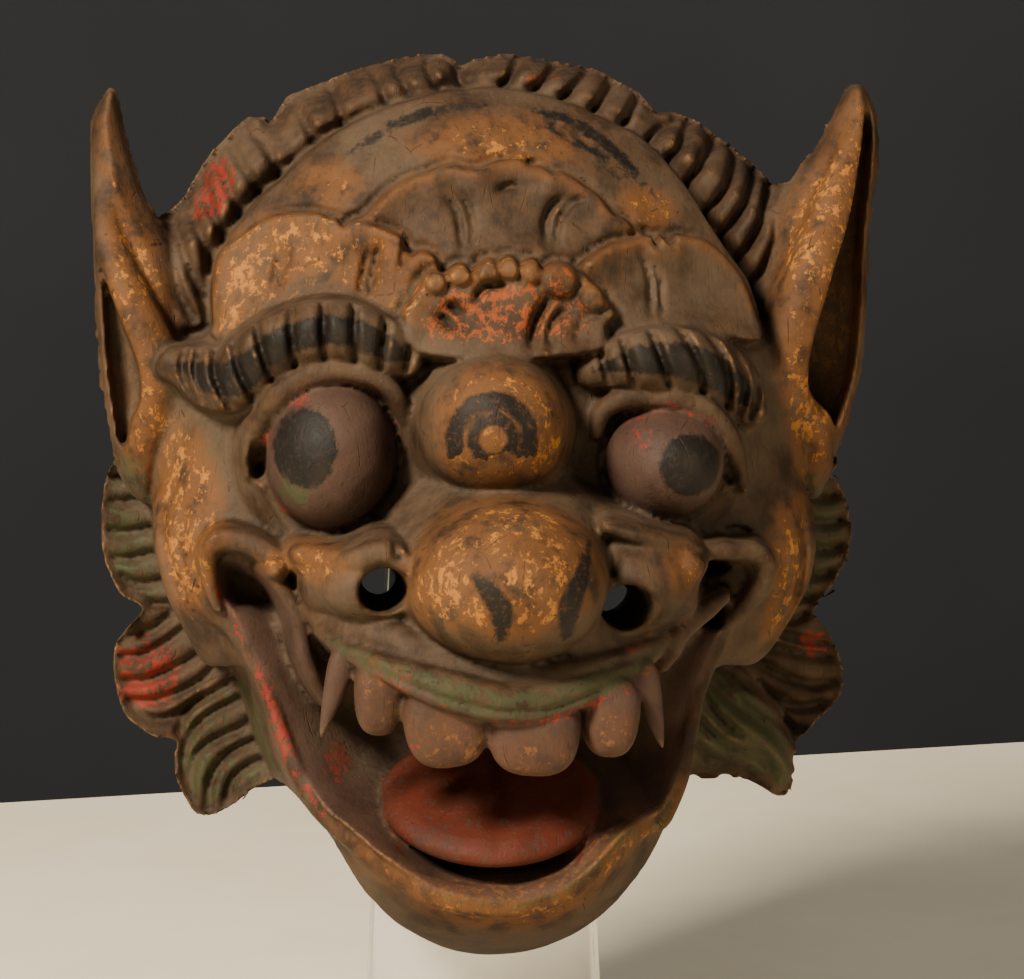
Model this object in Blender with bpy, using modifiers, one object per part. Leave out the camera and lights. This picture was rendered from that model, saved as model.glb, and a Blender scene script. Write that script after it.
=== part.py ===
"""A carved wooden barong mask, its hollow back resting on a clear tapered post with a foot.

World frame: metres, +Z up, the face looks along -Y, the origin is under the middle of the foot.
Mask frame: x to the viewer's right, depth toward the viewer from the flat back, z up along the back.
The carving is given in carving units, of which the mask is CARVED_HEIGHT tall.
"""
import math

import bmesh
import bpy
import numpy as np
from mathutils import Matrix, Vector

# Driving dimensions
MASK_HEIGHT = 0.258         # chin to crown, along the back
BACK_LEAN = math.radians(5)
WALL = 0.017                # wood between the forehead and the hollow
RIM_WIDTH = 0.022           # flat band around the hollow, at the sides
CHIN_CLEARANCE = 0.058      # foot's top to the chin
NOSTRIL_BORE = 0.0105
NOSTRIL_FLARE = 1.15        # width of a nostril over its height
POST_DEPTH = 0.022
POST_TOP_WIDTH = 0.046
POST_BOTTOM_WIDTH = 0.072
POST_SINK = 0.004           # how far the post's front corners reach into the brow
POST_FROM_BACK = 0.004      # the mask's back plane to the post, at the chin
FOOT_WIDTH = 0.150
FOOT_DEPTH = 0.130
FOOT_THICKNESS = 0.010
FOOT_CORNER = 0.010
EDGE_BEVEL = 0.0012
POST_BEHIND_MIDDLE = 0.030  # middle of the foot to the middle of the post
FIT_GAP = 0.0003

# Carving grid
CARVED_HEIGHT = 258.0
UNIT = MASK_HEIGHT / CARVED_HEIGHT
CHIN_Z = -133.0
GRID_STEP = 1.8
VOXEL = 1.7 * UNIT
BLOCK_TRIANGLES = 5600

HOLLOW_MIDDLE_Z = 18.0
HOLLOW_BEHIND = 3.0         # the hollows' middles are this far behind the back plane
HEAD_HALF_WIDTH = 99.0
HEAD_HALF_HEIGHT = 106.0
FOREHEAD_DEPTH = 80.0

CROWN = [(-92, 81), (-84, 90), (-72, 105), (-60, 110), (-48, 118), (-25, 124), (-9, 124.5),
         (7, 125), (30, 121), (45, 112), (59, 110), (72, 102), (84, 92), (91, 84)]
RIGHT_SIDE = [(100, 60), (101, 25), (106, 2), (110.5, -12), (103, -34), (108, -54), (101, -69),
              (89, -89), (70, -83), (55, -80)]
CHIN = [(51, -92), (44, -106), (32, -119), (18, -129), (2, CHIN_Z), (-14, -130), (-29, -120),
        (-41, -103), (-48, -90)]
LEFT_SIDE = [(-57, -80), (-70, -88), (-80, -93), (-89, -80), (-92, -71), (-104, -64), (-108, -48),
             (-103, -31), (-110.5, -9), (-106, 11), (-100, 30), (-98, 60)]
SILHOUETTE = CROWN + RIGHT_SIDE + CHIN + LEFT_SIDE

FACE_EDGE = [(-76, 69), (-65, 85), (-49, 101), (-33, 110), (-17, 115), (0, 115), (15, 113),
             (38, 105), (50, 93), (64, 73), (80, 60), (92, 42), (93, 15), (86, -12), (83, -25),
             (71, -38), (58, -52), (53, -75), (50, -92), (44, -105), (32, -118), (18, -128),
             (2, -132), (-14, -129), (-29, -119), (-41, -102), (-50, -86), (-58, -64), (-66, -46),
             (-77, -38), (-86, -22), (-91, -5), (-90, 15), (-94, 42), (-88, 60)]

MOUTH_EDGE = [(-75, -14), (-68, -12), (-62, -15), (-57, -20), (-52, -30), (-44, -38), (-31, -43),
              (-17, -50), (-2, -53), (12, -53), (30, -47), (45, -41), (56, -30), (60, -20),
              (67, -13), (74, -13), (74, -24), (68, -34), (62, -43), (57, -54), (54, -68),
              (51, -80), (46, -89), (34, -96), (22, -105), (4, -111), (-13, -110), (-28, -103),
              (-38, -93), (-47, -88), (-53, -76), (-58, -62), (-63, -49), (-70, -38), (-75, -28)]

CENTRE_LEAF = [(-25, 50), (-22, 58), (-15, 63), (-3, 67), (5, 68), (19, 66), (28, 60), (33, 53),
               (24, 44), (0, 42), (-20, 42)]
LEFT_LEAF = [(-76, 69), (-65, 78), (-53, 81), (-41, 78), (-27, 76), (-20, 69), (-22, 56),
             (-40, 50), (-62, 48), (-78, 52)]
RIGHT_LEAF = [(24, 69), (38, 74), (48, 73), (62, 71), (73, 62), (74, 46), (52, 48), (32, 52)]
TOP_LEAF = [(-35, 78), (-27, 87), (-15, 93), (12, 95.5), (26, 87), (40, 74), (24, 62), (-20, 62)]

# Round forms on the face: middle x, middle z, half width, half height, base depth, rise
FOREHEAD = (2, 40, 66, 50, 24, 58)
CHEEKS = [(-70, -14, 26, 34, 38, 28), (70, -16, 26, 34, 38, 28)]
JAW = (0, -84, 61, 52, 0, 112)
MUZZLE = (1, -30, 62, 30, 50, 62)
NOSE_BRIDGE = (1, 2, 26, 26, 60, 34)
NOSE_WINGS = [(-36, -19, 19, 13, 92, 20), (36, -21, 18, 14, 90, 20)]
WING_NUBS = [(-50, -14, 8, 8, 84, 12), (50, -14, 9, 9, 86, 14)]
NOSE_BULB = (1.5, -17, 28, 22, 108, 29)
EYE_SOCKETS = [(-46, 15, 24, 26, 66, 16), (47, 12, 22, 22, 66, 16)]
EYES = [(-44.5, 15, 17.5, 20.5, 76, 24), (46, 12.5, 15.5, 16, 76, 22)]
BROW_BALL = (0.5, 25, 20.5, 20.5, 92, 20.5)

LIP_LINE = [(-48, -33), (-38, -33), (-26, -37), (-14, -43), (2, -46.5), (16, -45.5),
            (30, -41.5), (42, -37.5), (50, -34)]
LOWER_LIP = [(-73, -33), (-63, -49), (-58, -62), (-53, -76), (-46, -90), (-35, -98),
             (-21, -108), (-4, -112), (12, -111), (25, -104), (36, -95), (48, -90), (53, -78),
             (57, -54), (68, -34)]
LEFT_BROW = [(-87, 40), (-79, 35), (-70, 35), (-60, 44), (-50, 48), (-40, 48), (-30, 44), (-24, 41)]
RIGHT_BROW = [(26, 35), (35, 39), (45, 40), (57, 38.5), (68, 33), (75, 28)]

MOUTH_FLOOR = 47.0
NOSTRILS = [(-32, -20), (31.6, -25)]

# Teeth: middle x, top z, tip z, half width
TEETH = [(-43.5, -31, -65, 5), (-32, -38, -62, 7.5), (-14, -44, -71, 12), (10, -46, -74, 13),
         (31.5, -40, -69, 9), (45.5, -33, -68, 5)]

# Ears by height: z, middle x, half width, half depth
LEFT_EAR = [(-4, -99, 2, 3), (15, -99.5, 6, 12), (41, -99.5, 9.5, 19), (64, -100.5, 9.5, 20),
            (81, -101.5, 9.5, 17), (93, -105, 6, 12), (104, -106, 5, 8), (116, -106, 1.2, 2)]
RIGHT_EAR = [(-2, 101, 2, 3), (15, 99.5, 6, 12), (41, 100, 11, 19), (64, 102, 11, 20),
             (81, 103.5, 11, 17), (93, 105, 9.5, 12), (104, 108.5, 6.5, 9), (119, 110.5, 1.2, 2)]
EAR_DEPTH = 33.0
EAR_SCOOP = (0.62, 12.0, 0.80)   # share of the half width outward, shift forward, share of the size


def smooth_step(low, high, value):
    t = np.clip((value - low) / (high - low), 0, 1)
    return t * t * (3 - 2 * t)


def smooth_max(a, b, blend):
    h = np.clip(0.5 + 0.5 * (a - b) / blend, 0, 1)
    return b * (1 - h) + a * h + blend * h * (1 - h)


def curve_through(points, closed=False, steps=4):
    """Points along a smooth curve through the given ones (Catmull-Rom)."""
    given = [np.array(p, float) for p in points]
    if closed:
        given = [given[-1]] + given + given[:2]
    else:
        given = [2 * given[0] - given[1]] + given + [2 * given[-1] - given[-2]]
    made = []
    for a, b, c, d in zip(given, given[1:], given[2:], given[3:]):
        for t in np.arange(steps) / steps:
            made.append(0.5 * (2 * b + (c - a) * t + (2 * a - 5 * b + 4 * c - d) * t ** 2
                               + (3 * b - a - 3 * c + d) * t ** 3))
    if not closed:
        made.append(given[-2])
    return np.array(made)


def nearest_on(x, z, path, closed):
    """Distance to a path, and the share of its length at the nearest point."""
    starts, ends = (path, np.roll(path, -1, axis=0)) if closed else (path[:-1], path[1:])
    runs = ends - starts
    lengths = np.hypot(runs[:, 0], runs[:, 1])
    before = np.concatenate([[0], np.cumsum(lengths)[:-1]])
    nearest = np.full(x.shape, 1e9)
    share = np.zeros(x.shape)
    for (ax, az), (rx, rz), length, start in zip(starts, runs, lengths, before):
        t = np.clip(((x - ax) * rx + (z - az) * rz) / length ** 2, 0, 1)
        distance = np.hypot(x - ax - t * rx, z - az - t * rz)
        closer = distance < nearest
        nearest = np.where(closer, distance, nearest)
        share = np.where(closer, (start + t * length) / lengths.sum(), share)
    return nearest, share


def depth_inside(x, z, outline):
    """Distance to a closed outline, positive inside it."""
    path = curve_through(outline, closed=True)
    distance, _ = nearest_on(x, z, path, True)
    crossings = np.zeros(x.shape, bool)
    for (ax, az), (bx, bz) in zip(path, np.roll(path, -1, axis=0)):
        if az != bz:
            left = x < (bx - ax) * (z - az) / (bz - az) + ax
            crossings ^= ((az > z) != (bz > z)) & left
    return np.where(crossings, distance, -distance)


def dome(x, z, form):
    mid_x, mid_z, half_width, half_height, base, rise = form
    r = np.hypot((x - mid_x) / half_width, (z - mid_z) / half_height)
    return np.where(r < 1, base + rise * np.sqrt(np.clip(1 - r * r, 0, 1)), base - 60 * (r - 1))


def roll(x, z, line, radii, crest):
    """A round roll along a line: radii and crest depths are spread over its length."""
    distance, share = nearest_on(x, z, curve_through(line), False)
    radius = np.interp(share, np.linspace(0, 1, len(radii)), radii)
    top = np.interp(share, np.linspace(0, 1, len(crest)), crest)
    round_part = np.sqrt(np.clip(radius ** 2 - distance ** 2, 0, None))
    return top - radius + np.where(distance < radius, round_part, 4 * (radius - distance))


def skull(x, z):
    half_height = np.where(z > 12, 116, 128)
    r = np.hypot(x / HEAD_HALF_WIDTH, (z - 12) / half_height)
    return 14 + (FOREHEAD_DEPTH - 14) * np.sqrt(np.clip(1 - r ** 2.4, 0, 1))


def face_depth(x, z):
    depth = smooth_max(skull(x, z), dome(x, z, FOREHEAD), 8)
    for form in CHEEKS + [JAW, NOSE_BRIDGE]:
        depth = smooth_max(depth, dome(x, z, form), 8)
    depth = smooth_max(depth, dome(x, z, MUZZLE), 10)
    for leaf, lift in ((TOP_LEAF, 3), (LEFT_LEAF, 3.5), (RIGHT_LEAF, 3.5), (CENTRE_LEAF, 4)):
        depth = depth + lift * smooth_step(-1.2, 1.2, depth_inside(x, z, leaf))
    for form in NOSE_WINGS + EYE_SOCKETS:
        depth = smooth_max(depth, dome(x, z, form), 5)
    for form in WING_NUBS + [NOSE_BULB, BROW_BALL] + EYES:
        depth = smooth_max(depth, dome(x, z, form), 2)
    depth = smooth_max(depth, roll(x, z, LEFT_BROW, [6, 10, 10, 9.5, 9, 6],
                                   [66, 76, 84, 91, 93, 92]), 1.5)
    return smooth_max(depth, roll(x, z, RIGHT_BROW, [5, 8.5, 9.5, 10, 9.5, 6],
                                  [92, 93, 92, 88, 81, 71]), 1.5)


def mouth_depth(x, z, edge):
    """The scoop inside the lips: it falls from the lip's edge to the mouth's floor."""
    lip = 68 + 32 * smooth_step(-60, -108, z)
    reach = 24 - 14 * smooth_step(-84, -100, z)
    return MOUTH_FLOOR + (lip - MOUTH_FLOOR) * (1 - smooth_step(0, 1, edge / reach))


def front_depth(x, z):
    """Depth of the mask's front over its flat back, in carving units."""
    silhouette = depth_inside(x, z, SILHOUETTE)
    mane = 15 + 21 * np.sqrt(np.clip(silhouette / 22, 0, 1))
    on_face = smooth_step(-1.5, 1.5, depth_inside(x, z, FACE_EDGE))
    depth = mane + (face_depth(x, z) - mane) * on_face
    mouth = depth_inside(x, z, MOUTH_EDGE)
    depth = depth + (mouth_depth(x, z, mouth) - depth) * smooth_step(-1, 1, mouth)
    upper_lip = roll(x, z, LIP_LINE, [3, 7.5, 8.5, 8.5, 8.5, 7.5, 3],
                     [98, 108, 118, 122, 118, 108, 98])
    depth = smooth_max(depth, upper_lip, 1.5)
    lower_lip = roll(x, z, LOWER_LIP, [2, 3.5, 4, 4, 3.5, 2], [66, 72, 99, 101, 72, 66])
    depth = smooth_max(depth, lower_lip, 2)
    outside = -8
    return outside + (depth - outside) * smooth_step(-1.5, 1.5, silhouette)


def make_collection(name):
    collection = bpy.data.collections.new(name)
    bpy.context.scene.collection.children.link(collection)
    return collection


def take(name, collection):
    """Name the object just made and move it to a collection."""
    obj = bpy.context.object
    obj.name = obj.data.name = name
    for holder in obj.users_collection:
        holder.objects.unlink(obj)
    collection.objects.link(obj)
    return obj


def hide_as_cutter(obj):
    obj.hide_render = True
    obj.display_type = "WIRE"


def apply_modifier(obj, kind, **settings):
    modifier = obj.modifiers.new(kind.title(), kind)
    for name, value in settings.items():
        setattr(modifier, name, value)
    bpy.context.view_layer.objects.active = obj
    bpy.ops.object.modifier_apply(modifier=modifier.name)


def join(objects):
    bpy.ops.object.select_all(action="DESELECT")
    for obj in objects:
        obj.select_set(True)
    bpy.context.view_layer.objects.active = objects[0]
    bpy.ops.object.join()
    return objects[0]


def carve_with(obj, cutter, operation="DIFFERENCE"):
    apply_modifier(obj, "BOOLEAN", operation=operation, object=cutter, solver="EXACT")


def make_block(collection):
    """The head as a block: a grid pushed out to the carved front, closed by a flat back."""
    width, height = 236, 276
    columns, rows = round(width / GRID_STEP), round(height / GRID_STEP)
    bpy.ops.mesh.primitive_grid_add(x_subdivisions=columns, y_subdivisions=rows, size=1)
    block = take("mask", collection)
    bm = bmesh.new()
    bm.from_mesh(block.data)
    grid = np.array([v.co[:] for v in bm.verts])
    x, z = grid[:, 0] * width, grid[:, 1] * height - 4
    depth = front_depth(x, z)
    for vert, vx, vd, vz in zip(bm.verts, x, depth, z):
        vert.co = (vx * UNIT, -vd * UNIT, vz * UNIT)
    back = bmesh.ops.extrude_face_region(bm, geom=bm.faces[:])
    for item in back["geom"]:
        if isinstance(item, bmesh.types.BMVert):
            item.co.y = 12 * UNIT
    bmesh.ops.recalc_face_normals(bm, faces=bm.faces)
    bm.to_mesh(block.data)
    bm.free()
    return block


def make_ear(name, stations, collection, scoop=False):
    """A leaf-like horn of wood, round in plan, as wide and deep as its stations say."""
    bpy.ops.mesh.primitive_uv_sphere_add(segments=20, ring_count=16, radius=1)
    ear = take(name, collection)
    z, mid_x, half_width, half_depth = np.array(stations, float).T
    outward, forward, share = EAR_SCOOP if scoop else (0, 0, 1)
    side = math.copysign(1, mid_x[0])
    for vert in ear.data.vertices:
        height = z[0] + (z[-1] - z[0]) * (0.5 + 0.5 * vert.co.z)
        if scoop:
            height = z[0] + 10 + (height - z[0]) * 0.84
        ring = max(math.hypot(vert.co.x, vert.co.y), 1e-6)
        across = np.interp(height, z, half_width)
        deep = np.interp(height, z, half_depth)
        tip = min(1, 3 * ring)
        x = np.interp(height, z, mid_x) + side * outward * across
        x += share * across * tip * vert.co.x / ring
        depth = EAR_DEPTH + forward + share * deep * tip * vert.co.y / ring
        vert.co = (x * UNIT, -depth * UNIT, height * UNIT)
    return ear


def make_egg(name, collection, middle, radii, tilt=0):
    """An ellipsoid in the mask's frame; middle and radii are x, depth, z in carving units."""
    bpy.ops.mesh.primitive_uv_sphere_add(segments=20, ring_count=12, radius=1)
    egg = take(name, collection)
    scale = Matrix.Diagonal((radii[0] * UNIT, radii[1] * UNIT, radii[2] * UNIT, 1))
    place = Matrix.Translation((middle[0] * UNIT, -middle[1] * UNIT, middle[2] * UNIT))
    egg.data.transform(place @ Matrix.Rotation(tilt, 4, "X") @ scale)
    return egg


def make_teeth(collection):
    teeth = []
    for index, (x, top, tip, half_width) in enumerate(TEETH):
        depth = 113 - 0.007 * (x - 2) ** 2
        middle = (x, depth, (top + tip) / 2)
        teeth.append(make_egg(f"tooth_{index}", collection, middle,
                              (half_width, min(9, half_width + 2), (top - tip) / 2)))
    return teeth


def make_tongue(collection):
    return make_egg("tongue", collection, (0, 72, -86), (30.5, 32, 8), math.radians(22))


def hollow_radii():
    """Half width, depth and half height of the hollow behind the forehead, in metres."""
    return (HEAD_HALF_WIDTH * UNIT - RIM_WIDTH, (FOREHEAD_DEPTH + HOLLOW_BEHIND) * UNIT - WALL,
            HEAD_HALF_HEIGHT * UNIT - RIM_WIDTH)


def make_hollows(cutters):
    upper = make_egg("head_hollow", cutters, (0, -HOLLOW_BEHIND, HOLLOW_MIDDLE_Z),
                     [r / UNIT for r in hollow_radii()])
    jaw_depth = MOUTH_FLOOR + HOLLOW_BEHIND + 4 - WALL / UNIT
    lower = make_egg("jaw_hollow", cutters, (0, -HOLLOW_BEHIND, -72), (41, jaw_depth, 48))
    return [upper, lower]


def make_nostrils(cutters):
    drills = []
    for index, (x, z) in enumerate(NOSTRILS):
        bpy.ops.mesh.primitive_cylinder_add(vertices=20, radius=NOSTRIL_BORE / 2, depth=0.2)
        drill = take(f"nostril_{index}", cutters)
        turn = Matrix.Rotation(math.radians(90), 4, "X")
        widen = Matrix.Diagonal((NOSTRIL_FLARE, 1, 1, 1))
        drill.data.transform(Matrix.Translation((x * UNIT, -0.11, z * UNIT)) @ turn @ widen)
        drills.append(drill)
    return drills


def flatten_back(mask):
    """Saw the block off at the back plane and close it."""
    bm = bmesh.new()
    bm.from_mesh(mask.data)
    cut = bmesh.ops.bisect_plane(bm, geom=bm.verts[:] + bm.edges[:] + bm.faces[:],
                                 plane_co=(0, 0, 0), plane_no=(0, 1, 0), clear_outer=True)
    rim = [e for e in cut["geom_cut"] if isinstance(e, bmesh.types.BMEdge)]
    bmesh.ops.holes_fill(bm, edges=rim)
    bmesh.ops.triangulate(bm, faces=[f for f in bm.faces if len(f.verts) > 4])
    bm.to_mesh(mask.data)
    bm.free()


def mask_matrix():
    """The mask leans back on its post, with its chin CHIN_CLEARANCE over the foot."""
    chin_height = FOOT_THICKNESS + CHIN_CLEARANCE
    post_front = POST_BEHIND_MIDDLE - POST_DEPTH / 2
    back_at_chin = post_front + POST_DEPTH + POST_FROM_BACK
    lean = Matrix.Rotation(-BACK_LEAN, 4, "X")
    chin = lean @ Vector((0, 0, CHIN_Z * UNIT))
    return Matrix.Translation((0, back_at_chin - chin.y, chin_height - chin.z)) @ lean


def roof_height(to_world):
    """World height at which the post's front corners meet the hollow's roof."""
    half_width, depth, half_height = hollow_radii()
    post_front = POST_BEHIND_MIDDLE - POST_DEPTH / 2
    to_mask = to_world.inverted()
    height = to_world.translation.z
    step = 0.0005
    inside = True
    while inside:
        height += step
        spot = to_mask @ Vector((POST_TOP_WIDTH / 2, post_front, height))
        up = spot.z - HOLLOW_MIDDLE_Z * UNIT
        deep = spot.y - HOLLOW_BEHIND * UNIT
        reach = (spot.x / half_width) ** 2 + (deep / depth) ** 2 + (up / half_height) ** 2
        inside = reach < 1
    return height


def make_bar(name, collection, top, gap=0.0, open_back=0.0):
    """The tapered post; as a cutter it is larger all over and open to the back."""
    bottom = FOOT_THICKNESS + FIT_GAP
    bpy.ops.mesh.primitive_cube_add(size=1)
    bar = take(name, collection)
    for vert in bar.data.vertices:
        upper = vert.co.z > 0
        width = (POST_TOP_WIDTH if upper else POST_BOTTOM_WIDTH) + 2 * gap
        vert.co.x *= width
        vert.co.y = POST_BEHIND_MIDDLE + vert.co.y * (POST_DEPTH + 2 * gap)
        if vert.co.y > POST_BEHIND_MIDDLE:
            vert.co.y += open_back
        vert.co.z = top + gap if upper else bottom
    return bar


def make_foot(collection):
    bpy.ops.mesh.primitive_cube_add(size=1)
    foot = take("stand_foot", collection)
    size = Matrix.Diagonal((FOOT_WIDTH, FOOT_DEPTH, FOOT_THICKNESS, 1))
    foot.data.transform(Matrix.Translation((0, 0, FOOT_THICKNESS / 2)) @ size)
    bm = bmesh.new()
    bm.from_mesh(foot.data)
    corners = [e for e in bm.edges if abs(e.verts[0].co.z - e.verts[1].co.z) > FOOT_THICKNESS / 2]
    bmesh.ops.bevel(bm, geom=corners, offset=FOOT_CORNER, segments=6, profile=0.5,
                    affect="EDGES")
    bm.to_mesh(foot.data)
    bm.free()
    return foot


def bevel_edges(obj):
    modifier = obj.modifiers.new("Bevel", "BEVEL")
    modifier.width = EDGE_BEVEL
    modifier.segments = 2
    modifier.limit_method = "ANGLE"


def paint(obj, name, colour, roughness, metallic=0.0, clear=0.0):
    material = bpy.data.materials.new(name)
    material.use_nodes = True
    shader = material.node_tree.nodes["Principled BSDF"]
    shader.inputs["Base Color"].default_value = (*colour, 1)
    shader.inputs["Roughness"].default_value = roughness
    shader.inputs["Metallic"].default_value = metallic
    shader.inputs["Transmission Weight"].default_value = clear
    obj.data.materials.clear()
    obj.data.materials.append(material)


def make_mask(parts, cutters):
    """Block and ears in one piece of wood, hollowed, with the teeth and tongue in the mouth."""
    ears = [make_ear("left_ear", LEFT_EAR, parts), make_ear("right_ear", RIGHT_EAR, parts)]
    mask = join([make_block(parts)] + ears)
    apply_modifier(mask, "REMESH", mode="VOXEL", voxel_size=VOXEL)
    count = sum(len(p.vertices) - 2 for p in mask.data.polygons)
    apply_modifier(mask, "DECIMATE", ratio=BLOCK_TRIANGLES / count)
    flatten_back(mask)
    gouges = [make_ear("left_scoop", LEFT_EAR, cutters, scoop=True),
              make_ear("right_scoop", RIGHT_EAR, cutters, scoop=True),
              make_egg("mouth_hollow", cutters, (0, 78, -66), (41, 26, 22))]
    for gouge in gouges + make_hollows(cutters) + make_nostrils(cutters):
        carve_with(mask, gouge)
    for wood in make_teeth(cutters) + [make_tongue(cutters)]:
        carve_with(mask, wood, "UNION")
    mask.matrix_world = mask_matrix()
    return mask


def main():
    for obj in list(bpy.data.objects):
        bpy.data.objects.remove(obj, do_unlink=True)
    parts = make_collection("barong_mask")
    cutters = make_collection("cutters")

    mask = make_mask(parts, cutters)
    post_top = roof_height(mask_matrix()) + POST_SINK
    socket = make_bar("post_socket", cutters, post_top, gap=FIT_GAP,
                      open_back=POST_DEPTH)
    bpy.context.view_layer.update()
    carve_with(mask, socket)
    post = make_bar("stand_post", parts, post_top)
    foot = make_foot(parts)
    for cutter in cutters.objects:
        hide_as_cutter(cutter)

    for obj in (post, foot):
        bevel_edges(obj)
    mask.data.shade_smooth()
    paint(mask, "painted wood", (0.20, 0.13, 0.075), 0.75)
    paint(post, "clear post acrylic", (0.93, 0.93, 0.90), 0.15, clear=0.9)
    paint(foot, "clear foot acrylic", (0.93, 0.93, 0.90), 0.15, clear=0.9)


main()
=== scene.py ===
import math

import bmesh
import bpy
import numpy as np
from mathutils import Matrix, Vector


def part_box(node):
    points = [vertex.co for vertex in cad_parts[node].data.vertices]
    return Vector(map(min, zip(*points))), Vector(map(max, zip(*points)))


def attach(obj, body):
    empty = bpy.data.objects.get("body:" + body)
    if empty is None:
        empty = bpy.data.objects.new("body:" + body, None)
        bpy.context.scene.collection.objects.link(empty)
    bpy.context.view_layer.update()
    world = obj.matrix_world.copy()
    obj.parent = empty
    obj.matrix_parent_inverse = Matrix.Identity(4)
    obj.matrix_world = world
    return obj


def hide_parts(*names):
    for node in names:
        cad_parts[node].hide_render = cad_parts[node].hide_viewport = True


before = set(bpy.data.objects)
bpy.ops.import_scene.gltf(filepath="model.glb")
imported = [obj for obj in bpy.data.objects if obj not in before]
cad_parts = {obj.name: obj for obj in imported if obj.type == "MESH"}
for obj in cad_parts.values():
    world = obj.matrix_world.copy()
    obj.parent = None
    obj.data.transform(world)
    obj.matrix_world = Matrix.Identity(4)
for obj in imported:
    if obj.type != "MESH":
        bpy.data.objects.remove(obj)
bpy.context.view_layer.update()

bpy.ops.object.select_all(action="DESELECT")

# Where the mask stands: a carved mask about 258 mm tall leans back on its clear post.
# Its carving is laid out in millimetres on its flat back: x to the right, depth towards
# the viewer, z up. The frame gives the place: the mask's lowest point is its chin.
mm = 0.001
back_lean = math.radians(5)
block_foot_z = -133.0
post_low, post_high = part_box("stand_post")
foot_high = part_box("stand_foot")[1]
chin_clearance = 0.058
back_at_chin = post_high[1] + 0.004
lean = Matrix.Rotation(-back_lean, 4, "X")
chin = lean @ Vector((0, 0, block_foot_z * mm))
mask_place = Matrix.Translation(
    (0, back_at_chin - chin.y, foot_high[2] + chin_clearance - chin.z)) @ lean


# The camera looks from a little to the viewer's left and above, from under a metre away,
# with a long lens. A small shift frames the mask as the photograph does.
camera_distance = 880 * mm
camera_left = math.radians(4)
camera_above = math.radians(3)
aim_depth = 45
pixels_per_mm = 3.55
aim_pixel = (487, 502)
frame_pixels = (1024, 979)
sensor_width = 36
aim = Vector((0, -aim_depth * mm, 0))
away = Vector((-math.sin(camera_left) * math.cos(camera_above),
               -math.cos(camera_left) * math.cos(camera_above), math.sin(camera_above)))
bpy.ops.object.camera_add(location=mask_place @ (aim + away * camera_distance))
camera = bpy.context.object
camera.name = "photo_camera"
sight = (mask_place.to_3x3() @ -away).normalized()
camera.rotation_euler = sight.to_track_quat("-Z", "Y").to_euler()
camera.data.sensor_width = sensor_width
camera.data.lens = sensor_width * pixels_per_mm * camera_distance / mm / frame_pixels[0]
camera.data.shift_x = (frame_pixels[0] / 2 - aim_pixel[0]) / frame_pixels[0]
camera.data.shift_y = (aim_pixel[1] - frame_pixels[1] / 2) / frame_pixels[0]
bpy.context.scene.camera = camera


# The block: skull, mane, ears, brows, eyes, nose, lips and jaw are cut from one piece of old
# tropical softwood. The front is a carved relief over the flat back, so its depth is worked
# out point by point from domes, rolls, leaves and chisel cuts, then pulled out of a grid.
grid_step = 0.66
block_width, block_height = 236, 268

crown = [(-93, 79), (-88, 83.3), (-84.5, 87), (-80.8, 93.6), (-76.2, 100), (-71.6, 104.5),
         (-67, 109), (-63, 110.4), (-59.3, 108.8), (-55, 115.2), (-49.2, 117.8), (-41.7, 120.7),
         (-35.4, 123.2), (-24.2, 126.2), (-17.6, 127.6), (-11.8, 127.8), (-7.5, 126), (-4.9, 124.2),
         (-0.9, 126.1), (4, 127.2), (8.9, 127.8), (19.9, 126.2), (28.6, 124.5), (34.4, 123.2),
         (40.3, 119.7), (44.6, 117.7), (47.5, 115.5), (50.5, 111.6), (55.4, 111.6), (58.6, 110.4),
         (64.5, 107.6), (68.6, 104.2), (72.4, 102), (75.9, 98.8), (80.6, 94.8), (84.7, 90.4), (90, 86)]
right_lobes = [(98, 60), (100, 25), (101.5, 8), (103.5, 6), (107.2, 1.7), (109.3, -2.7),
               (110.5, -8.6), (110.5, -14.4), (109.6, -18.8), (107.3, -23.2), (105, -27.6),
               (102, -31), (99.6, -36), (103.6, -40.8), (106.6, -46.7), (108.1, -52.6),
               (108.1, -57), (106.6, -61.4), (102.2, -65.8), (97.8, -70.2), (92.6, -75),
               (92.3, -79), (91.7, -82.2), (90.8, -86.6), (89, -88.7), (86.4, -88.3),
               (81.9, -85.6), (77.5, -83.7), (73, -82.6), (64.2, -82.8), (57, -81.5)]
chin_line = [(53, -82), (50.9, -85.4), (47.9, -90.9), (43.5, -97.8), (37.7, -105.2), (31.9, -112.4),
             (26.1, -118), (20.3, -122.2), (14.6, -125.8), (9, -128.6), (3, -130.4), (-3, -130.2),
             (-8, -128.2), (-13.6, -125.6), (-19.3, -122), (-24.9, -118.2), (-29, -115),
             (-33.2, -110.3), (-37.4, -105.4), (-41.6, -98.5), (-45.8, -91.5), (-50, -86)]
left_lobes = [(-54, -82), (-58.6, -81.8), (-62.9, -83.6), (-67.3, -85.8), (-71.6, -89.3), (-76, -91.8),
              (-79.5, -93.2), (-82.4, -92.6), (-84.6, -91.3), (-88.9, -83.3), (-90, -76),
              (-89, -71), (-94.5, -69.9), (-98.8, -67.5), (-103.1, -64), (-105.4, -59.6),
              (-106.7, -53.8), (-107.3, -48), (-106.4, -42.2), (-102.9, -37.4), (-98.4, -32),
              (-102.9, -29.3), (-105.7, -26.4), (-107.7, -22), (-109.4, -17.7), (-110.2, -11.9),
              (-110.4, -6.2), (-109.8, -0.4), (-108.9, 5.3), (-107, 9.7), (-103, 14), (-99, 30),
              (-98, 60)]
silhouette = crown + right_lobes + chin_line + left_lobes

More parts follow.
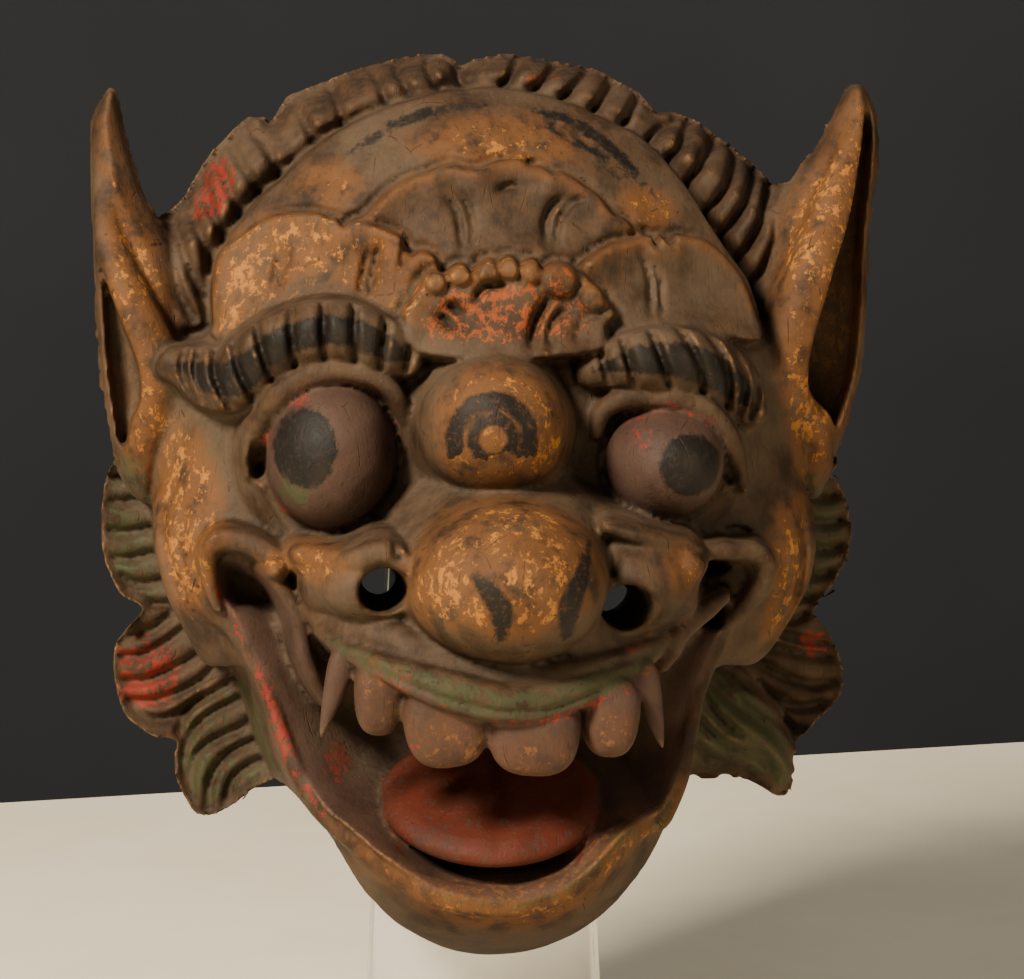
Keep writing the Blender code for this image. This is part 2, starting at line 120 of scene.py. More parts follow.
left_ear = [(-90, 76), (-93.6, 82.7), (-95.3, 85.8), (-97.2, 90.6), (-98.8, 96.2), (-100.5, 101.8),
            (-101.6, 107.4), (-102.4, 111.6), (-103.2, 115), (-104.4, 116.4), (-105.8, 115.4),
            (-107.4, 113), (-109, 109.4), (-109.9, 104.8), (-109.9, 96.3), (-109.6, 84),
            (-109.3, 71), (-109.4, 59.7), (-108.9, 48.4), (-108.1, 37.1), (-107, 28.6),
            (-105.7, 20), (-104.4, 13), (-101, 5), (-94, 1), (-86, 20), (-84, 56)]
right_ear = [(84, 82), (90.5, 93.2), (94.8, 97.8), (99.1, 105.5), (101.9, 111.2), (103.9, 115.5),
             (105.8, 117.6), (108.2, 117.8), (110, 115.6), (112.3, 110), (113.2, 105.7),
             (113.5, 100), (113, 94.3), (111.9, 85.7), (110.8, 74.2), (110.3, 62.7), (109.8, 51.2),
             (109.2, 42.6), (108.1, 34), (105.8, 25.3), (103.8, 19.5), (101.8, 13.8), (99, 5),
             (94, 0), (84, 10), (80, 40), (80, 66)]

face_edge = [(-80, 46.6), (-76.4, 50), (-76.6, 58), (-75.6, 67.3), (-72.3, 73.6), (-67.5, 80.4),
             (-62.8, 86), (-57.8, 90.4), (-52.2, 95.8), (-46.6, 100.6), (-39.6, 104.9), (-32.6, 108.6),
             (-24.1, 112), (-12.9, 115.2), (-4, 116.2), (4.1, 116.5), (15.5, 114.6), (26.9, 111.1),
             (35.5, 107), (41.3, 104.5), (46.8, 100.6), (53, 93.4), (58, 86.6), (62, 79.5),
             (66.7, 72.4), (70.2, 67.6), (73.7, 63), (75.8, 57.6), (77.5, 51), (80, 45.5),
             (87, 36), (90, 20), (91.7, 2.9), (93.2, -2.8), (93.6, -8.4), (92.7, -17),
             (90.6, -24), (88.2, -28.4), (83.8, -36.6), (78.8, -44.4), (74.4, -47.4), (70, -47.2),
             (64, -47), (59.6, -51), (57, -58), (56, -66), (56.3, -76), (53, -84), (48.6, -91),
             (43.8, -98.4), (38, -105.6), (32, -112.8), (20.4, -122.4), (9, -129), (3, -131),
             (-8, -129), (-19.3, -122.6), (-29, -115.6), (-37.6, -106), (-46, -92), (-51, -86),
             (-55.6, -80), (-60.4, -70), (-64, -58), (-66, -50), (-68.6, -45.4), (-77.9, -46.2),
             (-81.5, -43.9), (-84.8, -36.9), (-88.4, -29.9), (-90.9, -24.3), (-92.6, -17.4),
             (-94, -10.4), (-94.5, -2), (-95.1, 4.4), (-96, 18), (-95, 32), (-89, 44)]


def smooth_step(low, high, value):
    t = np.clip((value - low) / (high - low), 0, 1)
    return t * t * (3 - 2 * t)


def smooth_max(a, b, blend):
    h = np.clip(0.5 + 0.5 * (a - b) / blend, 0, 1)
    return b * (1 - h) + a * h + blend * h * (1 - h)


def along(share, values):
    return np.interp(share, np.linspace(0, 1, len(values)), values)


def curve_through(points, closed=False, steps=4):
    given = [np.array(p, float) for p in points]
    if closed:
        given = [given[-1]] + given + given[:2]
    else:
        given = [2 * given[0] - given[1]] + given + [2 * given[-1] - given[-2]]
    made = []
    for a, b, c, d in zip(given, given[1:], given[2:], given[3:]):
        for t in np.arange(steps) / steps:
            made.append(0.5 * (2 * b + (c - a) * t + (2 * a - 5 * b + 4 * c - d) * t ** 2
                               + (3 * b - a - 3 * c + d) * t ** 3))
    if not closed:
        made.append(given[-2])
    return np.array(made)


def nearest_on(x, z, path, closed=False):
    """Distance to a path, and the share of its length at the nearest point."""
    starts, ends = (path, np.roll(path, -1, axis=0)) if closed else (path[:-1], path[1:])
    runs = ends - starts
    lengths = np.hypot(runs[:, 0], runs[:, 1])
    before = np.concatenate([[0], np.cumsum(lengths)[:-1]])
    nearest = np.full(x.shape, 1e9)
    travelled = np.zeros(x.shape)
    for (ax, az), (rx, rz), length, start in zip(starts, runs, lengths, before):
        t = np.clip(((x - ax) * rx + (z - az) * rz) / length ** 2, 0, 1)
        distance = np.hypot(x - ax - t * rx, z - az - t * rz)
        closer = distance < nearest
        nearest = np.where(closer, distance, nearest)
        travelled = np.where(closer, start + t * length, travelled)
    return nearest, travelled / lengths.sum()


def near_box(x, z, path, margin):
    low, high = path.min(axis=0) - margin, path.max(axis=0) + margin
    return (x > low[0]) & (x < high[0]) & (z > low[1]) & (z < high[1])


def depth_inside(x, z, outline, margin=12, steps=3):
    """Distance to a closed outline, positive inside; beyond the margin outside it is -margin."""
    path = curve_through(outline, closed=True, steps=steps)
    near = near_box(x, z, path, margin)
    px, pz = x[near], z[near]
    distance, _ = nearest_on(px, pz, path, True)
    crossings = np.zeros(px.shape, bool)
    for (ax, az), (bx, bz) in zip(path, np.roll(path, -1, axis=0)):
        if az != bz:
            left = px < (bx - ax) * (pz - az) / (bz - az) + ax
            crossings ^= ((az > pz) != (bz > pz)) & left
    result = np.full(x.shape, -float(margin))
    result[near] = np.where(crossings, distance, -np.minimum(distance, margin))
    return result


def dome(x, z, form):
    """A round form: middle x and z, half width and height, depth of its base, and its rise."""
    mid_x, mid_z, half_width, half_height, base, rise = form
    r = np.hypot((x - mid_x) / half_width, (z - mid_z) / half_height)
    return np.where(r < 1, base + rise * np.sqrt(np.clip(1 - r * r, 0, 1)), base - 60 * (r - 1))


def pit(x, z, form):
    """A round dent: middle x and z, half width and height, depth."""
    return form[4] * np.clip(1 - np.hypot((x - form[0]) / form[2], (z - form[1]) / form[3]) ** 2, 0, 1)


def roll(x, z, line, radii, crest, flat=1.0):
    """A round roll along a line; radii and crest depths are spread over its length."""
    path = curve_through(line, steps=3)
    near = near_box(x, z, path, max(radii) + 14)
    form = np.full(x.shape, -60.0)
    distance, share = nearest_on(x[near], z[near], path)
    radius, top = along(share, radii), along(share, crest)
    round_part = np.sqrt(np.clip(radius ** 2 - distance ** 2, 0, None)) * flat
    form[near] = top - radius * flat + np.where(distance < radius, round_part,
                                                8 * (radius - distance))
    return form


def cut(depth, x, z, line, width, deep, ends=0.25):
    """A chisel cut along a line, rounded at its bottom and tapering out at its ends."""
    path = curve_through(line, steps=3)
    near = near_box(x, z, path, 2.2 * width)
    distance, share = nearest_on(x[near], z[near], path)
    taper = ends + (1 - ends) * np.clip(np.minimum(share, 1 - share) / 0.2, 0, 1)
    depth[near] -= deep * taper * np.exp(-(distance / (0.6 * width)) ** 2)
    return depth


def cuts(depth, x, z, lines, width, deep, ends=0.25):
    for line in lines:
        depth = cut(depth, x, z, line, width, deep, ends)
    return depth


def skull(x, z):
    half_height = np.where(z > 12, 116, 128)
    r = np.hypot(x / 100, (z - 12) / half_height)
    return 14 + 66 * np.sqrt(np.clip(1 - r ** 2.4, 0, 1))


top_leaf = [(-37.5, 76), (-35.3, 79.3), (-33.4, 80.7), (-30.6, 83.7), (-27.9, 86.4), (-25.2, 88.3),
            (-21.1, 90.2), (-17, 91.3), (-13.5, 92.9), (-10.2, 93.5), (-6.7, 92.4), (-2.6, 92.4),
            (1.2, 94), (7.4, 95.1), (11.2, 93.6), (15, 92.4), (17.5, 90.8), (20.2, 91.1), (23.7, 89.2),
            (26.5, 87), (29.3, 85.2), (32, 81.7), (34, 79.2), (36.5, 78.7), (39.3, 75.7),
            (41, 73), (24, 58), (-20, 58)]
left_leaf = [(-76, 46), (-76.6, 56), (-75.8, 66.6), (-73.7, 70.9), (-70.1, 73.6), (-65.2, 76.8),
             (-61.9, 79), (-57.8, 80.3), (-52.3, 80.8), (-46.9, 80.4), (-44.2, 79), (-42.3, 79),
             (-40.2, 76.4), (-38.9, 78.1), (-34.9, 78), (-30.9, 76.4), (-26.9, 74.7), (-24.5, 73.1),
             (-23.5, 69.9), (-22.2, 68.5), (-20.4, 69.6), (-18.3, 69.8), (-15.6, 67.4),
             (-15, 61), (-19, 54), (-24, 47), (-44, 44), (-62, 46)]
right_leaf = [(26.3, 68.1), (31.2, 71.1), (35.3, 72.2), (40.8, 73.3), (43.5, 73.8), (44.9, 70.8),
              (46.2, 73.9), (47.4, 72.9), (49.5, 71.2), (50.5, 74), (54, 73.8), (58.4, 73),
              (61.4, 71.7), (65.8, 68.2), (70.3, 62.2), (73.4, 53.9), (75, 45), (60, 46), (45, 47),
              (30, 44), (22, 47), (20.6, 57), (22.6, 65)]
centre_leaf = [(-25.3, 51.9), (-23.7, 55.1), (-21.8, 57.8), (-20.5, 60.4), (-18.7, 63.1), (-16.3, 64.4),
               (-13.6, 63.4), (-12.1, 64.9), (-9.7, 66.2), (-7.8, 65.5), (-6.5, 63.4), (-5.2, 65.4),
               (-2, 67.6), (-0.4, 67), (0.3, 65.5), (1.4, 67.3), (3.5, 68.1), (5.4, 67.6),
               (6.2, 65.4), (7.8, 66.8), (10, 67.6), (11.6, 66.5), (12.4, 64.3), (14, 65.5),
               (16.7, 66.6), (20, 66), (22.8, 63.9), (25.5, 61.3), (28.3, 58.6), (30.5, 54.9),
               (32.2, 52.2), (29.3, 49), (27, 42), (0, 40), (-22, 42)]
beads = [(-16.5, 60.8, 3.2), (-10, 62.8, 3.2), (-2.4, 63.8, 3.4), (3.4, 64.4, 3), (9.4, 63.4, 3.2),
         (16.6, 61.4, 5.2), (25.6, 56.4, 4)]
leaf_cuts = [
    ([(-55.9, 69.7), (-57, 65.9), (-57.5, 61.9), (-58.3, 57.6)], 1.4, 2.2),
    ([(-57.6, 70), (-59, 65.1), (-59.8, 59.2)], 1.2, 1.6),
    ([(-33.4, 71), (-34.6, 66.6), (-35.6, 62.4), (-36.4, 57)], 1.5, 2.4),
    ([(-30.8, 71.6), (-32.1, 66.6), (-33.2, 62.3), (-34, 57)], 1.9, 3.4),
    ([(-23.6, 74), (-24.4, 69.3), (-25.2, 64.3)], 1.7, 2.6),
    ([(-75, 45.1), (-75.2, 51.2), (-74.7, 57.3)], 1.6, 2.0),
    ([(-13.3, 85.3), (-11.5, 83.4), (-9.8, 80.7), (-8.8, 75.4), (-8.5, 69.3)], 1.5, 2.4),
    ([(-10.6, 87.2), (-8.5, 84.8), (-6.6, 81.6), (-5.5, 76.7), (-6.1, 70.7)], 1.4, 2.0),
    ([(20.5, 84.3), (17.2, 82.7), (15.3, 80), (14.5, 76.8), (14.8, 70.8)], 2.0, 3.0),
    ([(25.5, 84), (21.8, 82.7), (19.4, 80), (17.8, 76.8), (16.9, 70.3)], 1.6, 2.4),
    ([(1.4, 86), (4.1, 87.3), (7.6, 87.6)], 1.5, 3.0),
    ([(10.4, 94.6), (11.7, 93.2)], 2.2, 4.0), ([(38, 75.6), (39.6, 73.8)], 1.8, 3.0),
    ([(40.1, 69.5), (41.7, 65.2), (42.6, 60.6), (42.3, 50.8)], 1.5, 2.2),
    ([(42, 68.9), (44.6, 64.1), (45.8, 59.2), (45.4, 50.3)], 1.3, 1.8),
    ([(-13.6, 55.4), (-11.2, 54), (-8.8, 52)], 2.2, 3.4),
    ([(-16.2, 52.2), (-13.6, 51.1), (-11.4, 48.6)], 2.0, 3.2),
    ([(-6, 55.4), (-4.6, 58.6), (-1.2, 60.4), (3.5, 59.6)], 2.0, 3.2),
    ([(14, 56.6), (11.3, 52.7), (9.7, 48.5), (8.9, 43.2)], 2.4, 4.2),
    ([(20, 53.8), (16.4, 52.4), (14.5, 49.8), (13.8, 46.3), (14.3, 42.1)], 1.9, 3.0),
    ([(24, 52), (21.6, 49), (21, 45)], 1.6, 1.8),
]


def carve_leaves(depth, x, z):
    """Leaves of the crown lap over each other, each with a raised free edge."""
    height = np.zeros(x.shape)
    for leaf, lift in ((top_leaf, 5.4), (left_leaf, 8.4), (right_leaf, 8.8), (centre_leaf, 12)):
        edge = depth_inside(x, z, leaf)
        leaf_top = lift - 2.4 * smooth_step(2.4, 11, edge) + 0.9 * np.exp(-((edge - 1.6) / 1.3) ** 2)
        height = height + (leaf_top - height) * smooth_step(-0.4, 0.6, edge)
        height = height - 1.9 * np.exp(-((edge + 1.2) / 1.1) ** 2)
    depth = depth + height
    for mid_x, mid_z, half in beads:
        bead = np.hypot((x - mid_x) / half, (z - mid_z) / half)
        round_top = 2.6 * np.sqrt(np.clip(1 - bead ** 2, 0, 1))
        depth = depth + round_top - 1.2 * np.exp(-((bead - 1.1) / 0.22) ** 2)
    for line, width, deep in leaf_cuts:
        depth = cut(depth, x, z, line, width, 1.35 * deep)
    return depth


left_brow = ([(-87.3, 39.7), (-83.6, 38.7), (-79.4, 37.1), (-74.5, 35.6), (-69.6, 36.2), (-64.7, 39.9),
              (-59.9, 43.7), (-54.6, 46.3), (-49.3, 47.9), (-44, 48.7), (-38.7, 47.7), (-33.4, 45.5),
              (-28.6, 43.1), (-24.8, 41)],
             [4.5, 6.4, 8.6, 9, 9, 8.4, 8.3, 8.2, 8.2, 8, 8, 7.8, 7.4, 5],
             [66, 72, 77, 82, 86, 90, 92.5, 94.5, 96.5, 97.5, 97.5, 96.5, 95, 92])
left_brow_cuts = [
    [(-83, 46), (-84.4, 40), (-83.6, 35), (-80.6, 29)],
    [(-79.2, 47), (-80.8, 38), (-79.4, 33), (-75.6, 25)],
    [(-75, 47), (-75.6, 38), (-73.6, 32), (-69, 24)],
    [(-70.6, 47), (-69.4, 40), (-67.4, 34.6), (-63.6, 28.6)],
    [(-64.4, 51.4), (-63, 44.6), (-61.4, 39), (-58.6, 32)],
    [(-54.6, 57.6), (-55, 49), (-54.4, 43), (-53.4, 36)],
    [(-46.2, 60), (-46.6, 50), (-46.4, 44), (-45.6, 37)],
    [(-37.8, 58.6), (-38.6, 49), (-38.4, 43.4), (-37.4, 36)],
    [(-29, 55), (-30.8, 46), (-31.4, 40.4), (-31.4, 33)], [(-22.4, 47), (-24.2, 41), (-25.6, 33)]]
right_brow = ([(25.9, 37.2), (30.1, 38.6), (34.8, 39.7), (40.3, 40.2), (45.8, 40.2), (51.5, 39.3),
               (56.8, 37.4), (61.9, 34.9), (66.4, 31.8), (69.6, 28.7), (71.7, 25.6)],
              [4.6, 6.2, 7.6, 8.3, 8.7, 9, 9, 8.8, 8.4, 7, 4.2],
              [90, 94.5, 97, 97, 96, 94, 91, 87.5, 82.5, 78, 73])
right_brow_cuts = [
    [(26.6, 46), (28.8, 38.3), (31.6, 28.6)], [(32, 50), (34.6, 40.4), (37.6, 28.6)],
    [(39.4, 52), (42.8, 42), (45.4, 34.6), (47.6, 27.6)],
    [(46.4, 52), (51.6, 43.8), (54.7, 36.7), (55.8, 26)],
    [(54, 51), (60.1, 43), (62.8, 36), (63.9, 25)], [(60.6, 48.4), (66.2, 40.3), (68.5, 33.5),
                                                     (67.3, 23)],
    [(66, 44), (71.4, 37.4), (72.6, 30.8), (70.6, 22)]]


def carve_brows(depth, x, z):
    """Brows are thick rolls of hair parted by deep cuts, like twisted rope."""
    for (line, radii, crest), lines in ((left_brow, left_brow_cuts), (right_brow, right_brow_cuts)):
        brow = roll(x, z, line, radii, crest)
        parted = cuts(brow.copy(), x, z, lines, 1.9, 5.0, ends=1.0)
        brow = brow + (parted - brow) * smooth_step(0.5, 5, roll(x, z, line, radii, radii))
        depth = smooth_max(depth, brow, 1.0)
    return depth


left_eye = (-44.3, 15.4, 17.6, 20.8, 77, 22.5)
right_eye = (46.1, 12.5, 16.2, 16, 77, 21)
left_lid = [(-66.7, 9), (-66.4, 16), (-64.9, 20.4), (-62.4, 25.6), (-57.9, 31.4), (-51.7, 35.8),
            (-44.5, 37.8), (-37.8, 37.4), (-31.7, 35), (-27.4, 31), (-24.6, 25), (-23.8, 18)]
right_lid = [(27.6, 20), (28.6, 25.6), (32, 28.8), (36.6, 30), (41.4, 30.4), (46.8, 30), (52.4, 28.4),
             (57.2, 25.8), (61.4, 22.2), (64.6, 17.4), (66.6, 12), (68.6, 5)]


def carve_eyes(depth, x, z):
    """Eyes bulge out of round sockets, under a fleshy upper lid that runs down to each corner."""
    for socket in ((-46, 15, 25, 27, 64, 17), (47, 12, 23, 23, 64, 17)):
        depth = smooth_max(depth, dome(x, z, socket), 5)
    for ball in (left_eye, right_eye):
        edge = (np.hypot((x - ball[0]) / ball[2], (z - ball[1]) / ball[3]) - 1) * ball[2]
        depth = depth - 3.4 * np.exp(-((edge - 0.7) / 1.3) ** 2)
        depth = smooth_max(depth, dome(x, z, ball), 0.9)
    depth = smooth_max(depth, roll(x, z, left_lid, [1.6, 2.8, 3.2, 3.2, 3, 2.4, 1.6],
                                   [74, 82, 89, 92, 92, 89, 81]), 0.9)
    depth = smooth_max(depth, roll(x, z, right_lid, [1.8, 2.8, 3.2, 3, 2.6, 1.8],
                                   [82, 90, 91, 88, 82, 73]), 0.9)
    depth = depth - pit(x, z, (-64, 13.5, 2.8, 6.5, 8)) - pit(x, z, (-64, 10.6, 1.8, 2.4, 6))
    depth = depth - pit(x, z, (64.8, 7.6, 2.2, 2.6, 4))
    depth = cuts(depth, x, z, [[(-66.4, 7.6), (-62.9, 3.5), (-60.2, -1.3), (-56.6, -8)],
                               [(31, -5), (38, -9.4), (47, -11), (56, -8)],
                               [(60.6, 0), (65, 3), (70, 4.6)]], 1.7, 1.9)
    return depth


nose_bulb = (0.8, -17.8, 27, 21.6, 107, 30)
nostrils = [(-31.6, -19.8, 6.0, 5.5), (32.8, -25.2, 6.5, 5.8)]


def carve_nose(depth, x, z):
    """A broad bulb between two wings that flare sideways, each drilled by a nostril."""
    for form, grip in (((1, 1, 26, 25, 60, 35), 7), ((-34, -19, 17, 11, 92, 20), 4),
                       ((-45, -18.5, 9, 10, 84, 17), 3), ((-50, -13.6, 6, 4.2, 86, 9), 2),
                       ((36, -19, 18, 14, 90, 21), 4), ((48.8, -14.8, 7.6, 7, 88, 13), 2),
                       ((45, -24, 9.4, 8.6, 84, 15), 3)):
        depth = smooth_max(depth, dome(x, z, form), grip)
    ridge = roll(x, z, [(-53.4, -11), (-49.5, -11.4), (-44.8, -12.2), (-39.6, -12), (-35.7, -10.4),
                        (-32.6, -9), (-29.4, -9.6), (-26, -12.4)], [2.4, 3, 3, 3.0, 3.2, 2.6],
                 [95, 102, 108.5, 113.5, 116, 115])
    depth = smooth_max(depth, ridge, 1.0)
    depth = smooth_max(depth, dome(x, z, (49.3, -14.6, 4.8, 4.6, 99, 6)), 0.7)
    depth = smooth_max(depth, roll(x, z, [(28, -3.4), (33, -5), (39, -7), (45, -8.8), (50, -9.6),
                                          (53, -13), (52.6, -17), (49, -22.6)],
                                   [2.2, 2.8, 2.8, 2.6, 2.2, 1.8], [108, 108, 105, 101, 98, 94]), 2)
    depth = smooth_max(depth, dome(x, z, nose_bulb), 1.6)
    for mid_x, mid_z, half_width, half_height in nostrils:
        ring = (np.hypot((x - mid_x) / half_width, (z - mid_z) / half_height) - 1) * half_height
        depth = depth - 3.2 * np.exp(-((ring + 0.6) / 1.5) ** 2)
    return cuts(depth, x, z, [[(-43, -25.4), (-38, -28.6), (-31, -28.6), (-24.6, -27)],
                              [(-51.4, -18.6), (-47.6, -24), (-43, -27.4)],
                              [(-27.6, -4), (-28.6, -9), (-26.4, -12)],
                              [(27.6, -6), (29.6, -12), (28, -17)],
                              [(-20.6, 1.6), (-26, -1), (-33, -3.6), (-42, -6)],
                              [(20.6, 1), (27, -1), (36, -3.6), (46, -6)],
                              [(28, -31.6), (34, -34), (40, -33.6)],
                              [(-8, -36), (0, -40.6), (9, -40.6), (18, -37)]], 1.9, 2.6)


mouth_edge = [(-75, -15), (-75.2, -20), (-73.6, -26), (-71.5, -31), (-68.8, -36), (-66, -41),
              (-62.8, -46), (-60.6, -52), (-58.4, -59), (-56.2, -65.5), (-53.8, -71), (-50.6, -77),
              (-46.5, -82), (-42, -85), (-38, -88), (-33.5, -91.5), (-28.5, -94.5), (-23, -97.5),
              (-17.5, -100), (-11, -101.5), (-4.5, -102.3), (3, -102.7), (9, -102), (13.5, -100.8),
              (18, -98.5), (22.5, -95), (27, -90.8), (30, -88), (34, -85.5), (39.5, -84.6), (43, -84),
              (46.5, -81), (50, -75.6), (51.7, -70), (52.7, -65), (54.2, -59.5), (55.5, -54),
              (57.6, -48.5), (61, -41.5), (62.6, -38), (64.3, -34.5), (66.8, -29.8), (66.6, -26),
              (62, -26), (56, -30), (50, -35), (46, -38), (38, -41), (30, -44), (20, -47),
              (10, -49), (-2, -49), (-14, -46), (-26, -41), (-36, -38), (-46, -33.6),
              (-51, -31.6), (-54.5, -27), (-58, -21.6), (-62, -17), (-68, -14)]
left_corner = [(-74.9, -14.6), (-71.7, -14.1), (-66.3, -17.4), (-61.4, -21), (-58.1, -24.6),
               (-55.4, -28.4),
               (-54.8, -31.6), (-58.6, -32.4), (-63, -30.4), (-67, -28.6), (-71, -27.6), (-74, -23)]
lip_base = [(-51, -26), (-48, -28.4), (-42, -31), (-34, -32.2), (-27, -34.6), (-20, -38), (-12, -41.4),
            (-4, -43.4), (4, -44.8), (12, -45), (22, -43.4), (32, -40.2), (41, -36.8), (45.6, -32.6)]
lip_band = [(-49, -31.6), (-46, -33.4), (-40, -36.6), (-34, -38.7), (-27, -41.4), (-21.7, -43.2),
            (-16.6, -44.9),
            (-11.5, -46.3), (-6.4, -47.6), (-1.3, -48.5), (4, -48.8), (10, -48.5), (16, -47.4),
            (22, -45.8), (27, -44.2), (31, -42.8), (37, -40.8), (42, -38.6), (45.6, -36)]
lip_widths = [1, 1.8, 2.3, 2.8, 3.4, 4.2, 4.8, 5.1, 5.1, 5, 4.9, 4.8, 4.4, 4, 3.8, 3.6, 2.6, 1.8, 1]
lower_lip = [(-74.6, -27), (-72.9, -31.3), (-70.4, -35.4), (-67.7, -39.6), (-64.7, -44.6), (-62.6, -49.3),
             (-60.7, -54.7), (-59, -60.1), (-57.1, -65.5), (-55.2, -69.9), (-53, -74.5), (-50.2, -79.1),
             (-46.4, -83.4), (-42.3, -86.6), (-38.4, -89.6), (-34.2, -93), (-28.9, -96.4), (-23.6, -99.4),
             (-18.3, -102), (-11.7, -103.6), (-5.1, -104.5), (3, -104.8), (7.6, -104), (12.4, -102.6),
             (17.9, -100.4), (23.4, -96.2), (27.6, -92.2), (30.4, -89.6), (34.2, -87.4), (39.6, -86.6),
             (43.8, -86), (46.6, -83.2), (50, -77.3), (52.5, -70.7), (53.5, -65.4), (55.1, -60),
             (56.3, -54.5), (58.5, -48.9), (61.9, -41.9), (63.4, -38.5), (65.1, -34.7), (67.6, -29.6)]


def carve_mouth(depth, x, z):
    """The mouth is scooped out behind the lips; the upper lip is a roll over a crescent band."""
    edge = depth_inside(x, z, mouth_edge, margin=60)
    rim = 67 + 30 * smooth_step(-60, -101, z)
    reach = 25 - 15 * smooth_step(-80, -98, z)
    scoop = mouth_floor + (rim - mouth_floor) * (1 - smooth_step(0, 1, edge / reach))
    scoop = scoop - 12 * smooth_step(-0.6, 3.4, depth_inside(x, z, left_corner))
    scoop = scoop - pit(x, z, (61, -31, 6, 4.4, 18))
    depth = depth + (scoop - depth) * smooth_step(-0.7, 0.7, edge)
    base = roll(x, z, lip_base, [2, 4.4, 5.4, 6, 6.2, 6.2, 6.2, 6, 6, 5.6, 4.8, 3.4, 1.6],
                [88, 98, 105, 110, 113, 115, 116, 116, 115, 112, 107, 100, 92])
    band = roll(x, z, lip_band, lip_widths,
                [91, 99.5, 107, 113, 117, 120, 122, 123, 123.5, 123.5, 123, 121.5, 119, 116, 112,
                  107, 101.5, 95, 89], flat=0.8)
    band = cut(band, x, z, [(px, pz - 0.34 * width) for (px, pz),
                            width in zip(lip_band, lip_widths)][2:-2],
               1.3, 1.9)
    base = cut(base, x, z, [(px, pz + 0.9 * width) for (px, pz),
                            width in zip(lip_band, lip_widths)][1:-1],
               1.5, 2.4)
    depth = smooth_max(smooth_max(depth, base, 1.0), band, 0.5)
    lower = roll(x, z, lower_lip, [1.4, 2.0, 2.2, 2.4, 3, 3.6, 3.8, 3.8, 3.4, 2.8, 2.2, 2, 1.4],
                 [64, 67, 70, 76, 88, 97, 101, 100, 92, 78, 70, 66, 64])
    depth = smooth_max(depth, lower, 1.6)
    corner_roll = roll(x, z, [(-75.4, -27), (-77, -21.6), (-77.7, -15), (-77.2, -10.6), (-74.6, -7.9),
                              (-70.4, -7.6), (-66, -9), (-62.4, -11), (-59, -13)],
                       [1.4, 1.9, 2.3, 2.8, 3.2, 3.2, 2.8], [68, 71, 74.5, 79, 82, 84, 85])
    depth = smooth_max(depth, corner_roll, 1.2)
    strip = roll(x, z, [(-62.9, -15.5), (-58, -20.6), (-55, -25.6), (-53.6, -29.8), (-52.4, -37.6),
                        (-49.6, -45.6),
                        (-46.4, -52)], [1.4, 1.9, 2.1, 2.2, 2.2, 1.6], [85, 86, 87, 87, 85, 80])
    depth = smooth_max(depth, strip, 1.2)
    depth = smooth_max(depth, dome(x, z, (-59.4, -15.2, 3.6, 3.4, 84, 6)), 0.8)
    right_roll = roll(x, z, [(54, -12.4), (60, -12), (67, -11.8), (72, -13.4), (74.4, -17), (73.6, -22.4),
                             (70.6, -27), (67.6, -31)], [1.6, 2.4, 2.8, 2.8, 2.6, 1.8],
                             [89, 88, 84, 80, 75, 69])
    depth = smooth_max(depth, right_roll, 1.2)
    for form in ((67.4, -8, 5, 2, 8), (60.6, -17, 6, 3, 12), (56.6, -21, 3.4, 5, 9)):
        depth = depth - pit(x, z, form)
    spur = roll(x, z, [(62.6, -25), (57.6, -27.6), (52.9, -30.2), (48.6, -33.6), (47, -38), (45, -43)],
                [1.6, 2.4, 2.6, 2.6, 2.2, 1.6], [80, 86, 91, 94, 93, 86])
    return smooth_max(depth, spur, 0.9)


ear_reach = ([-4, 15, 41, 64, 81, 93, 104, 118], [4, 12, 19, 20, 17, 12, 8, 3])
left_fold = ([(-107.6, 100), (-107.4, 88), (-106.4, 78), (-104.4, 70), (-101.7, 62.5), (-98.4, 54.6),
              (-95, 47),
              (-92.6, 40), (-92.4, 32), (-93.6, 25), (-96.4, 17), (-96, 8)],
             [2, 2.6, 3.4, 4.4, 5.4, 6.4, 7, 7.4, 7.2, 6, 4.6, 3],
             [36, 39, 43, 46, 49, 51, 52.5, 53, 52, 49, 45, 38])
left_scoop = [(-107.9, 74), (-106.6, 66), (-104, 58.4), (-101.2, 51.2), (-98.6, 44.2), (-96.6, 37.3),
              (-96.2, 31.7), (-97, 27.5), (-99.4, 23.3), (-100.6, 17), (-103.4, 17), (-104.8, 26),
              (-106.2, 37), (-107, 48), (-107.6, 60)]
right_fold = ([(108.4, 110), (105, 100), (101.4, 90), (98, 80), (94.2, 70), (90.6, 60), (87.4, 50),
               (85.4, 40),
               (85.8, 31), (89.4, 24), (94, 19), (97, 10)],
              [2, 3.4, 4.8, 6.2, 7, 7.6, 8, 8.2, 7.6, 6, 4.4, 3],
              [38, 43, 47, 51, 54, 56.5, 58, 58, 55, 50, 44, 38])
right_scoop = [(109.7, 113), (108.2, 108), (106.9, 99.5), (105, 89.4), (102.7, 80.8), (100.5, 73.7),
               (97.8, 66.7), (95.6, 59.6), (93.4, 53), (91.4, 46.6), (90.2, 40), (90.4, 34.3), (92, 29.6),
               (95, 27), (98.4, 23.4), (100.6, 19.6), (103.2, 26), (105.6, 35), (106.8, 44),
               (107.6, 56), (108.2, 68), (109.2, 80), (110.6, 92), (111.2, 102), (110.9, 109)]


